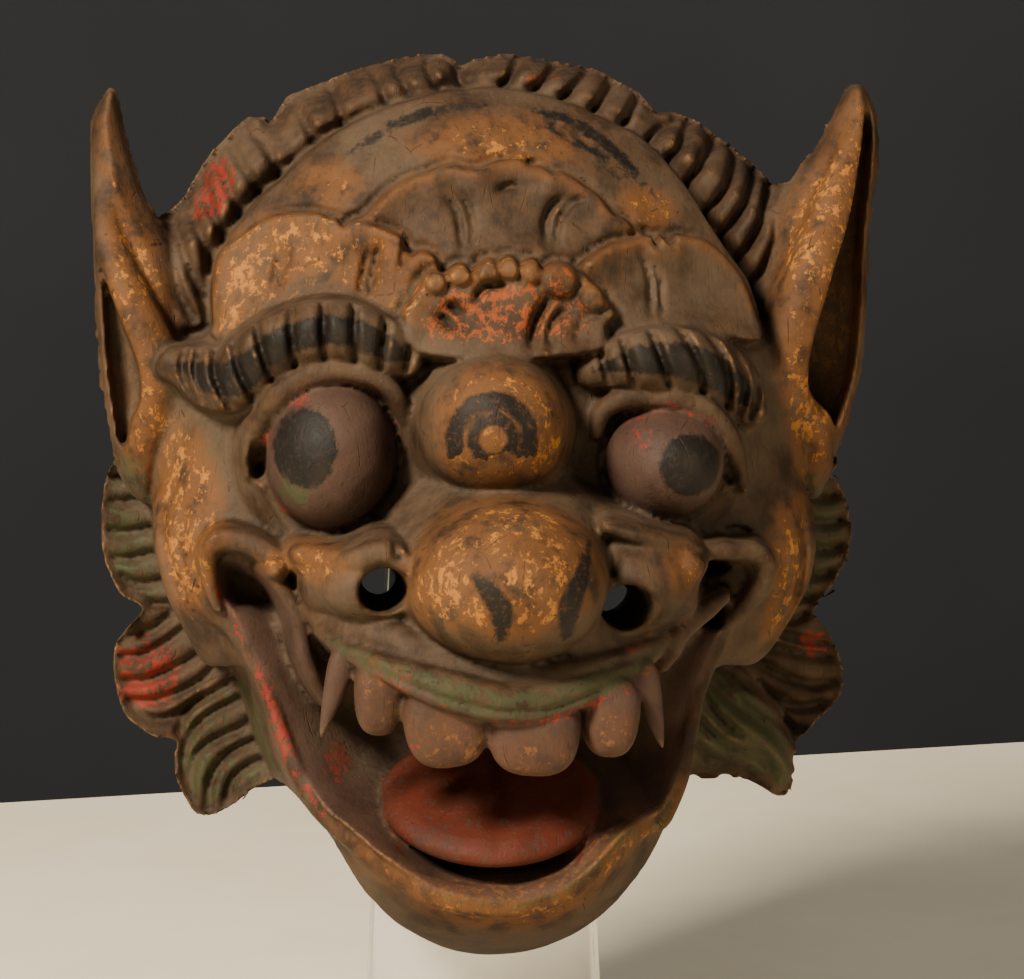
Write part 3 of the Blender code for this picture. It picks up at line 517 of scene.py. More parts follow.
def carve_ears(depth, x, z, edge):
    """Each ear is an upright horn with a ridge along its front and a leaf-shaped scoop outside it."""
    horn = 33 + 9 * np.sqrt(np.clip(edge / 6, 0, 1))
    depth = smooth_max(depth, np.where(edge > -1, horn, -60), 2)
    for fold, scoop, deep in ((left_fold, left_scoop, 5), (right_fold, right_scoop, 7)):
        depth = smooth_max(depth, roll(x, z, *fold), 5)
        inside = depth_inside(x, z, scoop)
        floor = 33 - deep * np.sqrt(np.clip(inside / 6, 0, 1))
        depth = np.where(inside > 0, floor + (depth - floor) * (1 - smooth_step(0, 1.0, inside)), depth)
    return depth


lobes = [
    ([(-98, 16), (-104.6, 14), (-107.5, 9.7), (-109.8, -0.4), (-110.4, -8), (-109.4, -17.7),
      (-105.7, -26.4),
      (-99.4, -31.3), (-88, -33), (-72, -30), (-72, 10)], 42, 13),
    ([(-70, -28), (-90, -30), (-99.5, -33), (-102.9, -37.9), (-107.3, -48), (-106.7, -53.8),
      (-103.1, -64),
      (-98.8, -67.5), (-89.6, -70.8), (-74, -68), (-56, -50)], 39, 14),
    ([(-60, -44), (-74, -52), (-84, -58), (-89.6, -67), (-90, -76), (-88.9, -83.3), (-84.6, -91.5),
      (-78.3, -93.4), (-67.3, -85.8), (-56, -81), (-38, -84), (-40, -60)], 37, 13),
    ([(96, 12), (103.3, 6.1), (109.3, -2.7), (110.5, -12), (109.6, -18.8), (105, -27.6), (100, -35),
      (86, -36), (70, -30), (70, 6)], 41, 13),
    ([(68, -30), (88, -34), (99, -36), (103.6, -40.8), (108.1, -52.6), (107.6, -60), (102.2, -65.8),
      (93.4, -74.4), (80, -74), (58, -56)], 38, 14),
    ([(56, -42), (72, -48), (84, -58), (91.5, -70), (92.8, -78), (90.8, -86.6), (86.4, -88.6),
      (77.5, -83.8),
      (64.2, -83), (50, -82), (36, -82), (40, -60)], 36, 13)]
mane_cuts = [
    [(-108.8, 7.6), (-102, 6.2), (-94, 8.4)], [(-110.4, 0.8), (-104, -0.9), (-93, 1.8)],
    [(-111.4, -8), (-103.5, -9.9), (-92, -7.4)], [(-110.8, -15.6), (-103.6, -17.6), (-90.4, -14.6)],
    [(-108, -20.6), (-99.4, -25), (-89, -22.4)], [(-103.4, -27.4), (-96, -30.8), (-86, -30)],
    [(-105.8, -40), (-96.6, -38.5), (-91, -34.6), (-86, -29)],
    [(-108.6, -45.3), (-100.9, -46.1), (-93.6, -43.2), (-85, -37)],
    [(-108.2, -52.4), (-99.6, -53.4), (-92, -51), (-84, -46.6), (-79, -42)],
    [(-107, -57.6), (-98.2, -59.5), (-90, -57.6), (-80, -52), (-74, -44)],
    [(-103, -60.6), (-95.4, -64.5), (-89.6, -63.6), (-82, -58.6)],
    [(-66, -44), (-72, -53), (-79.7, -57.8), (-84, -60.3), (-87.4, -65.5), (-89.4, -75)],
    [(-62, -46), (-67, -56), (-72.7, -60), (-78.4, -62.9), (-83.5, -67), (-86.9, -74.1), (-87.2, -86.4)],
    [(-61, -50), (-65, -61.8), (-68.4, -66.2), (-74.1, -69.1), (-79.8, -72), (-84.1, -77), (-84.8, -89)],
    [(-58, -60), (-61, -67.4), (-67, -71.4), (-72.7, -74.3), (-77, -78.5), (-79.5, -84.2),
     (-79.8, -92.6)],
    [(-53, -72), (-62.8, -76.4), (-68.5, -78.8), (-72.8, -83), (-74.7, -90.6)],
    [(92.6, 0.6), (101.6, -1.6), (109, 0.2)], [(93, -6.8), (102.5, -9.2), (111, -7.2)],
    [(92.6, -14.4), (102.6, -17), (111, -14.8)], [(90.6, -21.8), (100.3, -24.8), (108, -22)],
    [(87.6, -28.6), (96.8, -31.4), (104, -29.4)], [(83, -36), (93, -37.6), (99.6, -34.4)],
    [(82, -38), (95.1, -43.7), (107, -44.6)], [(78, -42), (93.1, -47.4), (108, -49.2)],
    [(74, -46), (91.7, -54.7), (100.4, -56.9), (108.6, -55)],
    [(76, -54), (88.8, -61), (95.2, -63.8), (105, -62)],
    [(76, -59), (85.9, -66), (96, -71)],
    [(62, -42), (72.7, -51.6), (80, -55.8), (87.3, -63), (92.4, -73)],
    [(60, -46), (70.7, -58.6), (78.6, -64.5), (85.9, -70.4), (91.4, -80)],
    [(58, -50), (66.9, -63), (74.2, -68.8), (81.5, -74.7), (90, -86.4)],
    [(56, -58), (63.4, -66), (68.4, -70.8), (75.7, -73.8), (81.6, -77.6), (88.2, -87.6)],
    [(55, -66), (62.6, -73.7), (68.4, -77.5), (75.7, -79.6), (83.4, -85.6)]]
crown_cuts_right = [
    [(5, 116), (9, 121), (12, 128)], [(13, 115), (18.6, 119.6), (24.1, 126.4)],
    [(21.6, 112.5), (29.3, 119.8), (34.6, 125)],
    [(30.6, 109), (37, 117.2), (41, 121.6)], [(38.6, 104.6), (45.1, 113.8), (48.6, 117.8)],
    [(45.6, 99.6), (51.2, 105.2), (55.7, 107.6), (58, 113)],
    [(50.6, 93.6), (56.4, 99.8), (59.4, 105.8), (63.4, 110.6)],
    [(56.6, 85.7), (62.7, 95.8), (66.2, 100.3), (70, 105.6)],
    [(61.6, 78.3), (68.5, 87.2), (72.3, 94.6), (75.4, 101)],
    [(65.9, 71.4), (73.2, 81.5), (77.3, 88.9), (81, 96)],
    [(70.7, 63.5), (78.1, 75.8), (81.7, 84.6), (86, 91.4)],
    [(74.4, 56), (82, 68), (87, 80)]]
crown_cuts_left = [
    [(-4.6, 125.4), (-6.4, 121), (-4, 116)], [(-13, 129), (-15, 122.6), (-12, 116)],
    [(-22.3, 127.6), (-23.7, 122.3), (-20, 114)],
    [(-32, 126), (-29.4, 119.5), (-27, 112.6)], [(-44, 121), (-41.3, 114.3), (-39.6, 107)],
    [(-56, 116.6), (-51.3, 110.3), (-47.6, 102)], [(-66.6, 111.6), (-64.1, 103.9), (-60.7, 99.4),
                                                   (-57, 92)],
    [(-72.6, 106), (-69.2, 97.3), (-65.8, 92), (-61, 85)],
    [(-77.4, 101.8), (-73.5, 93.9), (-71.5, 88), (-67, 78.6)],
    [(-81, 96.4), (-78.4, 88.2), (-76.3, 81.8), (-72.4, 73.6)],
    [(-85.4, 90), (-81.8, 81.1), (-79.1, 73.9), (-76.4, 65.7)],
    [(-90, 84), (-85.8, 75.4), (-83.4, 67.6), (-79.6, 58.5)], [(-92, 74), (-88.6, 64), (-82, 52)]]


def mane_depth(x, z, edge, face):
    """Hair rolls over the crown in slanting locks, and hangs in three lobes on each side."""
    smooth = depth = 13 + 27 * np.sqrt(np.clip(edge / 12, 0, 1)) - 5 * np.exp(-((face + 1.2) / 2.6) ** 2)
    depth = cuts(depth.copy(), x, z, crown_cuts_right, 2.7, 5.6, ends=0.8)
    depth = cuts(depth, x, z, crown_cuts_left, 2.3, 3.8, ends=0.8)
    depth = smooth + (depth - smooth) * smooth_step(0, 3, edge)
    for outline, top, reach in lobes:
        inside = depth_inside(x, z, outline)
        lobe = 12 + (top - 12) * np.sqrt(np.clip(inside / reach, 0, 1))
        lobe = np.where(inside > 0, lobe, 12 + 3 * inside)
        depth = np.where(z < 16, smooth_max(np.where(z > 10, depth, 10), lobe, 1.0), depth)
    carved = cuts(depth.copy(), x, z, mane_cuts, 2.6, 3.5, ends=0.8)
    return depth + (carved - depth) * smooth_step(0, 3, edge)


def chisel_marks(x, z):
    """The faint unevenness that a hand-held gouge leaves."""
    return (0.22 * np.sin(x / 3.3 + 1.7 * np.sin(z / 9.1)) * np.sin(z / 2.9 + 1.3 * np.sin(x / 7.7))
            + 0.12 * np.sin(x / 1.7 + 2.1 * np.sin(z / 5.3)) * np.sin(z / 1.5 + 0.9 * np.sin(x / 4.1)))


def front_depth(x, z, block, ears):
    face = depth_inside(x, z, face_edge, margin=30)
    depth = smooth_max(skull(x, z), dome(x, z, (2, 40, 66, 50, 24, 58)), 8)
    for form in ((-70, -14, 26, 34, 38, 28), (70, -16, 26, 34, 38, 28), (1, -81.5, 58.5, 51.5, 0, 112)):
        depth = smooth_max(depth, dome(x, z, form), 8)
    depth = smooth_max(depth, dome(x, z, (1, -30, 60, 28, 50, 61)), 10)
    depth = carve_leaves(depth, x, z)
    depth = cuts(depth, x, z, [
        [(-86.9, 6.2), (-90, 1.2), (-90.8, -5.6), (-89.7, -12.5), (-86.9, -20.3), (-83.1, -27.1),
         (-78.7, -32.4), (-73.7, -36.2), (-68.7, -38.6)],
        [(-84.4, -1), (-84.8, -8), (-83, -16), (-79.6, -24), (-74.6, -31)],
        [(87.3, -3.7), (88.2, -12.2), (87.1, -20.7), (84.9, -28.6), (81.2, -36.3), (76.4, -42.5)]], 2.0,
        3.0)
    depth = carve_eyes(depth, x, z)
    depth = carve_brows(depth, x, z)
    depth = smooth_max(depth, dome(x, z, (-1.2, 22.8, 19.6, 19.2, 92, 20)), 1.2)
    depth = carve_nose(depth, x, z)
    hair = mane_depth(x, z, block, face)
    depth = hair + (depth - hair) * smooth_step(-0.9, 0.9, face)
    depth = carve_mouth(depth, x, z) * smooth_step(-0.9, 0.9, block)
    return carve_ears(depth, x, z, ears) + chisel_marks(x, z)


# The back is gouged out to a smooth hollow for a face, with a flat rim around it, and cut
# away behind the chin and under the brow where the clear post passes up and carries the mask.
mouth_floor = 46.0
hollows = [(0, -3, 18, 77, 66, 84), (0, -3, -72, 41, 37, 48)]
nostril_middle = 62.0
post_half_low, post_half_top = 36.0, 23.0
post_gap = 1.0


def post_channel(depth, x, z):
    """The slot, open to the back, that the upright post stands in behind the leaning mask."""
    place = mask_place.translation / mm
    post_front = (place.y + z * math.sin(back_lean) - post_low[1] / mm) / math.cos(back_lean)
    height = place.z + post_front * math.sin(back_lean) + z * math.cos(back_lean)
    half = np.interp(height, [foot_high[2] / mm, post_high[2] / mm], [post_half_low, post_half_top])
    inside = (np.abs(x) < half + post_gap) & (height < post_high[2] / mm + post_gap)
    return np.where(inside, np.maximum(depth, post_front + post_gap), depth)


def back_depth(x, z, block, whole):
    depth = np.zeros(x.shape)
    for mid_x, behind, mid_z, half_width, deep, half_height in hollows:
        r2 = ((x - mid_x) / half_width) ** 2 + ((z - mid_z) / half_height) ** 2
        depth = np.maximum(depth, behind + deep * np.sqrt(np.clip(1 - r2, 0, 1)))
    depth = post_channel(depth, x, z)
    ear = 33 - np.interp(z, *ear_reach) * np.sqrt(np.clip(1 - (1 - whole / 9) ** 2, 0, 1))
    ear = np.where(whole > 9, 33 - np.interp(z, *ear_reach), ear)
    return ear + (depth - ear) * smooth_step(-0.9, 0.9, block)


bpy.ops.mesh.primitive_grid_add(x_subdivisions=round(block_width / grid_step),
                                y_subdivisions=round(block_height / grid_step), size=1)
carving = bpy.context.object
carving.name = carving.data.name = "mask_carving"
points = np.empty(len(carving.data.vertices) * 3)
carving.data.vertices.foreach_get("co", points)
points = points.reshape(-1, 3)
grid_x, grid_z = points[:, 0] * block_width, points[:, 1] * block_height
block_edge = depth_inside(grid_x, grid_z, silhouette, margin=400)
ear_edge = np.maximum(depth_inside(grid_x, grid_z, left_ear), depth_inside(grid_x, grid_z, right_ear))
whole_edge = np.maximum(block_edge, ear_edge)
front = front_depth(grid_x, grid_z, block_edge, ear_edge)
back = np.minimum(back_depth(grid_x, grid_z, block_edge, whole_edge), front)
rim_depth = 33 * smooth_step(0.9, -0.9, block_edge)
wall = smooth_step(-0.6, 0.6, whole_edge)
front, back = (rim_depth + (side - rim_depth) * wall for side in (front, back))
bored = np.minimum.reduce([(np.hypot((grid_x - nx) / rx, (grid_z - nz) / rz) - 1) * rz
                           for nx, nz, rx, rz in nostrils])
wall = smooth_step(-0.8, 0.5, bored)
front, back = (nostril_middle + (side - nostril_middle) * wall for side in (front, back))
closed = front - back < 1e-5

bm = bmesh.new()
bm.from_mesh(carving.data)
places = {vert: vert.index for vert in bm.verts}
shut = [face for face in bm.faces if all(closed[places[vert]] for vert in face.verts)]
bmesh.ops.delete(bm, geom=shut, context="FACES")
places = {vert: index for vert, index in places.items() if vert.is_valid}
twin = bmesh.ops.duplicate(bm, geom=bm.verts[:] + bm.edges[:] + bm.faces[:])["vert_map"]
for vert, index in places.items():
    vert.co = (grid_x[index], -front[index], grid_z[index])
    twin[vert].co = (grid_x[index], -back[index], grid_z[index])
bmesh.ops.remove_doubles(bm, verts=bm.verts, dist=0.001)
bmesh.ops.recalc_face_normals(bm, faces=bm.faces)
bm.to_mesh(carving.data)
bm.free()


# Teeth and tongue are cut from the same block. Four blunt teeth hang from the lip between
# two thin fangs; the tongue lies in the scooped jaw and curls up at its rim.
teeth = [((-44.6, 98.5, -47), (5, 5.4, 13.4), 17, 0.85), ((-33, 105, -48), (7.2, 7, 10), 2, 0.2),
         ((-15.6, 110.4, -55), (12, 7.6, 11), -6, 0.15), ((7.3, 111.5, -58.4), (12.8, 7.6, 10), 4, 0.15),
         ((28, 105.5, -54), (8.6, 7.2, 10.6), 3, 0.2), ((39.8, 99, -51.6), (5, 5.4, 12.4), -14, 0.8)]


def make_egg(name, middle, radii, turn=0, taper=0.0, square=2.0):
    """An egg, or with a higher power a block with rounded corners; a taper narrows it downward."""
    bpy.ops.mesh.primitive_uv_sphere_add(segments=72, ring_count=48, radius=1)
    egg = bpy.context.object
    egg.name = name
    for vert in egg.data.vertices:
        size = (abs(vert.co.x) ** square + abs(vert.co.y) ** square + abs(vert.co.z) ** square)
        vert.co *= size ** (-1 / square)
        narrow = 1 - taper * (1 - vert.co.z) / 2
        vert.co.x, vert.co.y = vert.co.x * narrow, vert.co.y * narrow
    turned = Matrix.Rotation(math.radians(turn), 4, "Y")
    egg.data.transform(Matrix.Translation((middle[0], -middle[1], middle[2])) @ turned
                       @ Matrix.Diagonal((*radii, 1)))
    return egg


mouth_pieces = [make_egg(f"tooth_{number}", middle, radii, turn, taper, square=2.7)
                for number, (middle, radii, turn, taper) in enumerate(teeth)]
tongue = make_egg("tongue", (0, 0, 0), (30.6, 33, 8.5))
for vert in tongue.data.vertices:
    round_edge = math.hypot(vert.co.x / 30.6, vert.co.y / 33)
    if vert.co.z > 0:
        vert.co.z -= 2.0 * max(0.0, 1 - (round_edge / 0.86) ** 4) + 0.9 * math.exp(-(vert.co.x / 3) ** 2)
tongue.data.transform(Matrix.Translation((-1.2, -70, -80.5)) @ Matrix.Rotation(math.radians(22), 4, "X"))
mouth_pieces.append(tongue)

bpy.ops.object.select_all(action="DESELECT")
for piece in [carving] + mouth_pieces:
    piece.select_set(True)
bpy.context.view_layer.objects.active = carving
bpy.ops.object.join()


def apply_modifier(piece, kind, **settings):
    modifier = piece.modifiers.new(kind.title(), kind)
    for name, value in settings.items():
        setattr(modifier, name, value)
    bpy.context.view_layer.objects.active = piece
    bpy.ops.object.modifier_apply(modifier=modifier.name)


voxel = 0.75
triangles_wanted = 192000
apply_modifier(carving, "REMESH", mode="VOXEL", voxel_size=voxel)
apply_modifier(carving, "SMOOTH", factor=0.5, iterations=1)
triangles = 2 * len(carving.data.polygons)
if triangles > triangles_wanted:
    apply_modifier(carving, "DECIMATE", ratio=triangles_wanted / triangles)


# Old paint, worn by handling, lies on the bare grey-brown wood in coats: ochre, orange, mauve,
# green, red and black. Each coat is laid out as distances in from its edge on the carved face,
# so that brush lines stay sharp, and the paint's own noise frays and rubs it.
paint_far, paint_thick = 8.0, 2.0


def stroke(x, z, line, halves):
    """Distance inside a brush stroke whose half widths are spread over its length."""
    path = curve_through(line, steps=3)
    near = near_box(x, z, path, max(halves) + paint_far)
    field = np.full(x.shape, -paint_far)
    distance, share = nearest_on(x[near], z[near], path)
    field[near] = along(share, halves) - distance
    return field


def patch(x, z, outline, inset=0.0):
    return np.clip(depth_inside(x, z, outline) - inset, -paint_far, paint_far)


def oval(x, z, mid_x, mid_z, half_width, half_height, inset=0.0):
    r = np.hypot((x - mid_x) / half_width, (z - mid_z) / half_height)
    return np.clip((1 - r) * min(half_width, half_height) - inset, -paint_far, paint_far)


def any_of(*fields):
    return np.maximum.reduce(fields)


def paint_coats(x, z):
    """Distance in from the edge of each coat of paint, in millimetres."""
    left_ball, right_ball = left_eye[:4], right_eye[:4]
    leaf_rims = [1.6 - np.abs(depth_inside(x, z, leaf) - 1.2) - inset
                 for leaf, inset in ((top_leaf, 1.4), (left_leaf, 0.0), (right_leaf, 1.4),
                                     (centre_leaf, 0.2))]
    hidden = depth_inside(x, z, centre_leaf) > 2
    leaf_rims[0] = np.where(hidden | (z < 74), -paint_far, leaf_rims[0])
    leaf_rims[1] = np.where(hidden | (z < 52), -paint_far, leaf_rims[1])
    leaf_rims[2] = np.where(hidden | (z < 52), -paint_far, leaf_rims[2])
    leaf_rims[3] = np.where(z < 54, -paint_far, leaf_rims[3])
    gold = any_of(
        *leaf_rims, patch(x, z, left_leaf, 2.2), oval(x, z, 1, -13, 27, 20, 3.4),
        oval(x, z, -17, -17, 11, 13, 2.2),
        oval(x, z, -1.2, 22.8, 20, 19.6, 4.4), oval(x, z, 10, 20, 9, 14, 1.6),
        oval(x, z, -50, -12.6, 9, 5, 0.6),
        oval(x, z, 49.3, -14.6, 6, 6, 0.6), oval(x, z, -59.4, -15.2, 4.4, 4.2),
        patch(x, z, [(-95, 30), (-82, 26), (-72, 6), (-72, -14), (-82, -32), (-92, -22), (-96, 4)], 3.0),
        patch(x, z, [(75, -2), (92, 4), (92, -24), (82, -40), (73, -40), (75, -20)], 3.6),
        stroke(x, z, lower_lip[13:33], [2, 5, 7, 8, 7, 5, 2]) - 0.6,
        oval(x, z, -33, -50, 8, 11, 0.2), oval(x, z, -17, -60, 12, 9, 0.2),
        oval(x, z, 8, -64, 13, 7, 0.8),
        oval(x, z, 29, -58, 8, 8, 1.0),
        patch(x, z, left_ear, 4.2), patch(x, z, right_ear, 3.0),
        stroke(x, z, right_fold[0], [2, 4, 5, 5, 4, 2]) - 1.4,
        oval(x, z, 4, 100, 50, 16, 9.4), oval(x, z, -44, 88, 16, 12, 6.4), oval(x, z, 44, 82, 16, 12, 7))
    brows = any_of(stroke(x, z, left_brow[0], left_brow[1]), stroke(x, z, right_brow[0], right_brow[1]))
    gold = np.where(brows > -2, -paint_far, gold)
    orange = any_of(patch(x, z, centre_leaf, 4.2), stroke(x, z,
                                                          [(-70, 66), (-60, 64.6), (-50, 65), (-41, 63)],
                                                          [2, 4, 3]) - 2.6,
                    stroke(x, z, lip_band[9:], [0.6, 1.0, 1.0, 0.6]), oval(x, z, 16.6, 61.4, 7, 7, 2.0))
    mauve = any_of(oval(x, z, left_ball[0], left_ball[1], 18.4, 21.4),
                   oval(x, z, right_ball[0], right_ball[1], 17, 16.8),
                   patch(x, z, mouth_edge, -0.6))
    hair_green = any_of(patch(x, z, lobes[0][0], 1.6), patch(x, z, lobes[2][0], 1.6),
                        patch(x, z, lobes[5][0], 3.0),
                        patch(x, z, lobes[3][0], 3.6))
    green = any_of(
        stroke(x, z, lip_band, [0.8 * width for width in lip_widths]) + 0.6,
        np.where(depth_inside(x, z, face_edge) > 0, -paint_far, hair_green),
        stroke(x, z, lower_lip[17:36], [0.6, 1.5, 1.6, 1.5, 0.6]),
        oval(x, z, -55, 6, 8, 9, 3.0))
    lip_foot = [(px, pz - 0.95 * width) for (px, pz), width in zip(lip_band, lip_widths)]
    red = any_of(
        stroke(x, z, lip_foot[8:-1], [0.3, 1.1, 1.3, 1.2, 0.9, 0.4]),
        stroke(x, z, lip_foot[3:7], [0.2, 0.7, 0.2]),
        stroke(x, z, [(-64.4, 6), (-63.8, 13), (-62.4, 19), (-59, 26), (-54, 31)],
               [0.6, 1.6, 1.8, 1.4, 0.5]),
        stroke(x, z, [(-53, -4), (-58, 1), (-61, 6)], [0.2, 0.8, 0.4]), oval(x, z, -54, 30, 6, 4, 1.2),
        stroke(x, z, [(-40, 34.6), (-33, 32.4), (-28, 28), (-25.4, 20), (-25, 12)],
               [0.2, 0.6, 0.2, 0.8, 0.2]),
        stroke(x, z, [(33, 20), (38, 24.6), (45, 27), (52, 26.4), (58, 23)], [0.4, 1.2, 1.6, 1.3, 0.5]),
        oval(x, z, 38, 19, 7, 6, 3.2), stroke(x, z, mouth_edge[:8], [0.8, 1.2, 1.4, 1.2, 0.8]),
        stroke(x, z, [(-70, -34), (-64, -46), (-60, -58), (-56, -70), (-51, -79)],
               [2, 4.4, 5, 5, 3]) - 2.6,
        stroke(x, z, lower_lip[8:19], [0.6, 1.4, 1.2, 0.8, 0.4]), oval(x, z, -28, -46, 4, 2.6),
        oval(x, z, -25, -60, 4.4, 3, 0.8),
        oval(x, z, -42, -70, 9, 12, 4.6), oval(x, z, -97, -51, 12, 14, 2.0),
        oval(x, z, -97, -46, 10, 6, 0.6),
        patch(x, z, [(-84, 80), (-80, 95), (-72, 99), (-68, 90), (-74, 78)], 1.6),
        oval(x, z, 17, 120, 9, 4, 2.2),
        oval(x, z, 99, -45, 9, 7, 2.6), stroke(x, z, [(-58, 70), (-57.5, 62)], [0.8, 0.8]) - 0.6,
        stroke(x, z, [(33, -36), (40, -33.6), (44, -31)], [0.3, 0.9, 0.3]))
    ring = np.hypot(x + 3, (z - 19.8) / 1.04)
    arches = np.where(z > 14.5, np.maximum(1.9 - np.abs(ring - 9.8), 1.3 - np.abs(ring - 5.2)),
                      -paint_far)
    black = any_of(
        oval(x, z, -51.8, 17.4, 9, 11.4, 1.0), oval(x, z, 51, 12, 9, 8.6, 0.6), arches,
        stroke(x, z, [(-10, -14), (-6, -18), (-3, -23), (-2.6, -30)], [0.6, 2.4, 2.8, 1.2]),
        stroke(x, z, [(21, -7), (18.6, -14), (15, -22), (14.4, -30)], [0.6, 2.0, 2.8, 1.2]),
        stroke(x, z, [(-38, 97), (-26, 105), (-13, 109.6), (2, 110.6)], [0.2, 0.8, 1.1, 0.2]),
        stroke(x, z, [(12, 110), (26, 105), (38, 95), (46, 84)], [0.2, 1.5, 1.3, 0.3]),
        stroke(x, z, [(16, 104.6), (28, 98), (36, 90)], [0.2, 0.9, 0.3]),
        brows - 4.6)
    return {"ochre": gold, "orange": orange, "mauve": mauve, "green": green, "red": red, "black": black}


def neighbour_mean(values, ends, counts):
    """Each vertex's mean over its neighbours."""
    total = np.stack([np.bincount(ends[:, 0], values[ends[:, 1], axis], len(values))
                      + np.bincount(ends[:, 1], values[ends[:, 0], axis], len(values))
                      for axis in range(values.shape[1])], axis=1)
    return total / counts[:, None]


def store(mesh, name, values):
    mesh.attributes.new(name, "FLOAT", "POINT").data.foreach_set("value", values.astype(np.float32))


def mark_surface(mesh):
    """Stores how sharply each vertex is hollowed or proud, how deep it lies, and its coats of paint."""
    count = len(mesh.vertices)
    places = np.empty(count * 3)
    normals = np.empty(count * 3)
    ends = np.empty(len(mesh.edges) * 2, np.int32)
    mesh.vertices.foreach_get("co", places)
    mesh.vertices.foreach_get("normal", normals)
    mesh.edges.foreach_get("vertices", ends)
    places, normals, ends = places.reshape(-1, 3), normals.reshape(-1, 3), ends.reshape(-1, 2)
    counts = np.maximum(np.bincount(ends.ravel(), minlength=count), 1)
    reach = ((places[ends[:, 0]] - places[ends[:, 1]]) ** 2).sum(axis=1)
    reach = (np.bincount(ends[:, 0], reach, count) + np.bincount(ends[:, 1], reach, count)) / counts
    bend = ((neighbour_mean(places, ends, counts) - places) * normals).sum(axis=1) / np.maximum(reach,
                                                                                                0.01)
    for _ in range(2):
        bend = 0.5 * bend + 0.5 * neighbour_mean(bend[:, None], ends, counts)[:, 0]
    store(mesh, "fine_bend", bend)
    smoothed = places
    for _ in range(round(40 / voxel ** 2)):
        smoothed = neighbour_mean(smoothed, ends, counts)
    store(mesh, "broad_hollow", ((smoothed - places) * normals).sum(axis=1))
    behind = normals[:, 1] > 0.3
    for name, field in paint_coats(places[:, 0], places[:, 2]).items():
        store(mesh, name, np.where(behind, -paint_far, np.clip(field, -paint_far, paint_thick)))
    tongue_top = (np.abs(places[:, 0] + 1.2) < 30) & (places[:, 2] < -62) & (places[:, 2] > -97)
    tongue_top &= places[:, 2] > -80.5 - 0.36 * (-places[:, 1] - 70) - 6
    tongue_top &= np.hypot((places[:, 0] + 1.2) / 31.4, (-places[:, 1] - 70) / 34) < 1
    store(mesh, "tongue", np.where(tongue_top & ~behind, paint_thick, -paint_far))


mark_surface(carving.data)
carving.data.transform(mask_place @ Matrix.Scale(mm, 4))
carving.data.shade_smooth()
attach(carving, "root")
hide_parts("mask")


class Socket:
    """A shader socket that can be used in sums."""

    def __init__(self, finish, link):
        self.finish, self.link = finish, link

    def math(self, operation, first, second):
        return self.finish.node("Math", {"operation": operation}, {0: first, 1: second})

    def __add__(self, other):
        return self.math("ADD", self, other)

    def __radd__(self, other):
        return self.math("ADD", other, self)

    def __sub__(self, other):
        return self.math("SUBTRACT", self, other)

    def __rsub__(self, other):
        return self.math("SUBTRACT", other, self)

    def __mul__(self, other):
        return self.math("MULTIPLY", self, other)

    def __rmul__(self, other):
        return self.math("MULTIPLY", other, self)

    def ramp(self, low, high):
        """0 below low and 1 above high, smoothly between."""
        return self.finish.node("MapRange", {"interpolation_type": "SMOOTHSTEP"},
                                {0: self, 1: low, 2: high, 3: 0.0, 4: 1.0})


class Finish:
    """A material built from nodes."""

    def __init__(self, name):
        self.material = bpy.data.materials.new(name)
        self.material.use_nodes = True
        self.tree = self.material.node_tree
        self.shader = self.tree.nodes["Principled BSDF"]

    def feed(self, entry, value):
        if isinstance(value, Socket):
            self.tree.links.new(value.link, entry)
        else:
            entry.default_value = value

    def node(self, kind, settings, sockets, output=0):
        made = self.tree.nodes.new("ShaderNode" + kind)
        for name, value in settings.items():
            setattr(made, name, value)
        for entry, value in sockets.items():
            self.feed(made.inputs[entry], value)
        return Socket(self, made.outputs[output])

    def set(self, **entries):
        for name, value in entries.items():
            self.feed(self.shader.inputs[name.replace("_", " ")], value)

    def noise(self, place, scale, detail=4.0, roughness=0.55):
        return self.node("TexNoise", {}, {"Vector": place, "Scale": scale, "Detail": detail,
                                          "Roughness": roughness}, "Fac")

    def math_max(self, first, second):
        return self.node("Math", {"operation": "MAXIMUM"}, {0: first, 1: second})

    def mix(self, share, below, above):
        return self.node("Mix", {"data_type": "RGBA"}, {0: share, 6: below, 7: above}, 2)

    def value(self, name):
        return self.node("Attribute", {"attribute_name": name}, {}, "Fac")


wood_dark, wood_mid, wood_dusty = (0.020, 0.011, 0.006, 1), (0.052, 0.027, 0.013, 1), (0.068, 0.045,
                                                                                       0.028, 1)
# Stain brown, then the dark tone used both for grime and for painted shade in the broad hollows.
stain_brown, grime_and_shade_tone = (0.115, 0.046, 0.014, 1), (0.022, 0.014, 0.009, 1)
coats = {"ochre": ((0.32, 0.125, 0.020, 1), 2.9, 6.4, 0.8),
         "orange": ((0.25, 0.052, 0.009, 1), 2.0, 5.4, 0.7),
         "mauve": ((0.050, 0.027, 0.022, 1), 0.0, 4.0, 0.7),
         "tongue": ((0.066, 0.011, 0.005, 1), 0.2, 6.0, 0.9),
         "green": ((0.034, 0.042, 0.017, 1), 1.0, 6.0, 0.75),
         "red": ((0.19, 0.014, 0.009, 1), 1.4, 6.2, 0.75),
         "black": ((0.006, 0.0055, 0.005, 1), -0.5, 1.6, 0.98)}
# The last of these, near-black, serves as painted shade in fine creases and as the colour of real cracks
# and pores in the wood.
worn_wood, settled_dust, crack_and_crease_shade = (0.21, 0.105, 0.040, 1), (0.082, 0.060, 0.040, 1), (0.012, 0.008,
                                                                                       0.005, 1)

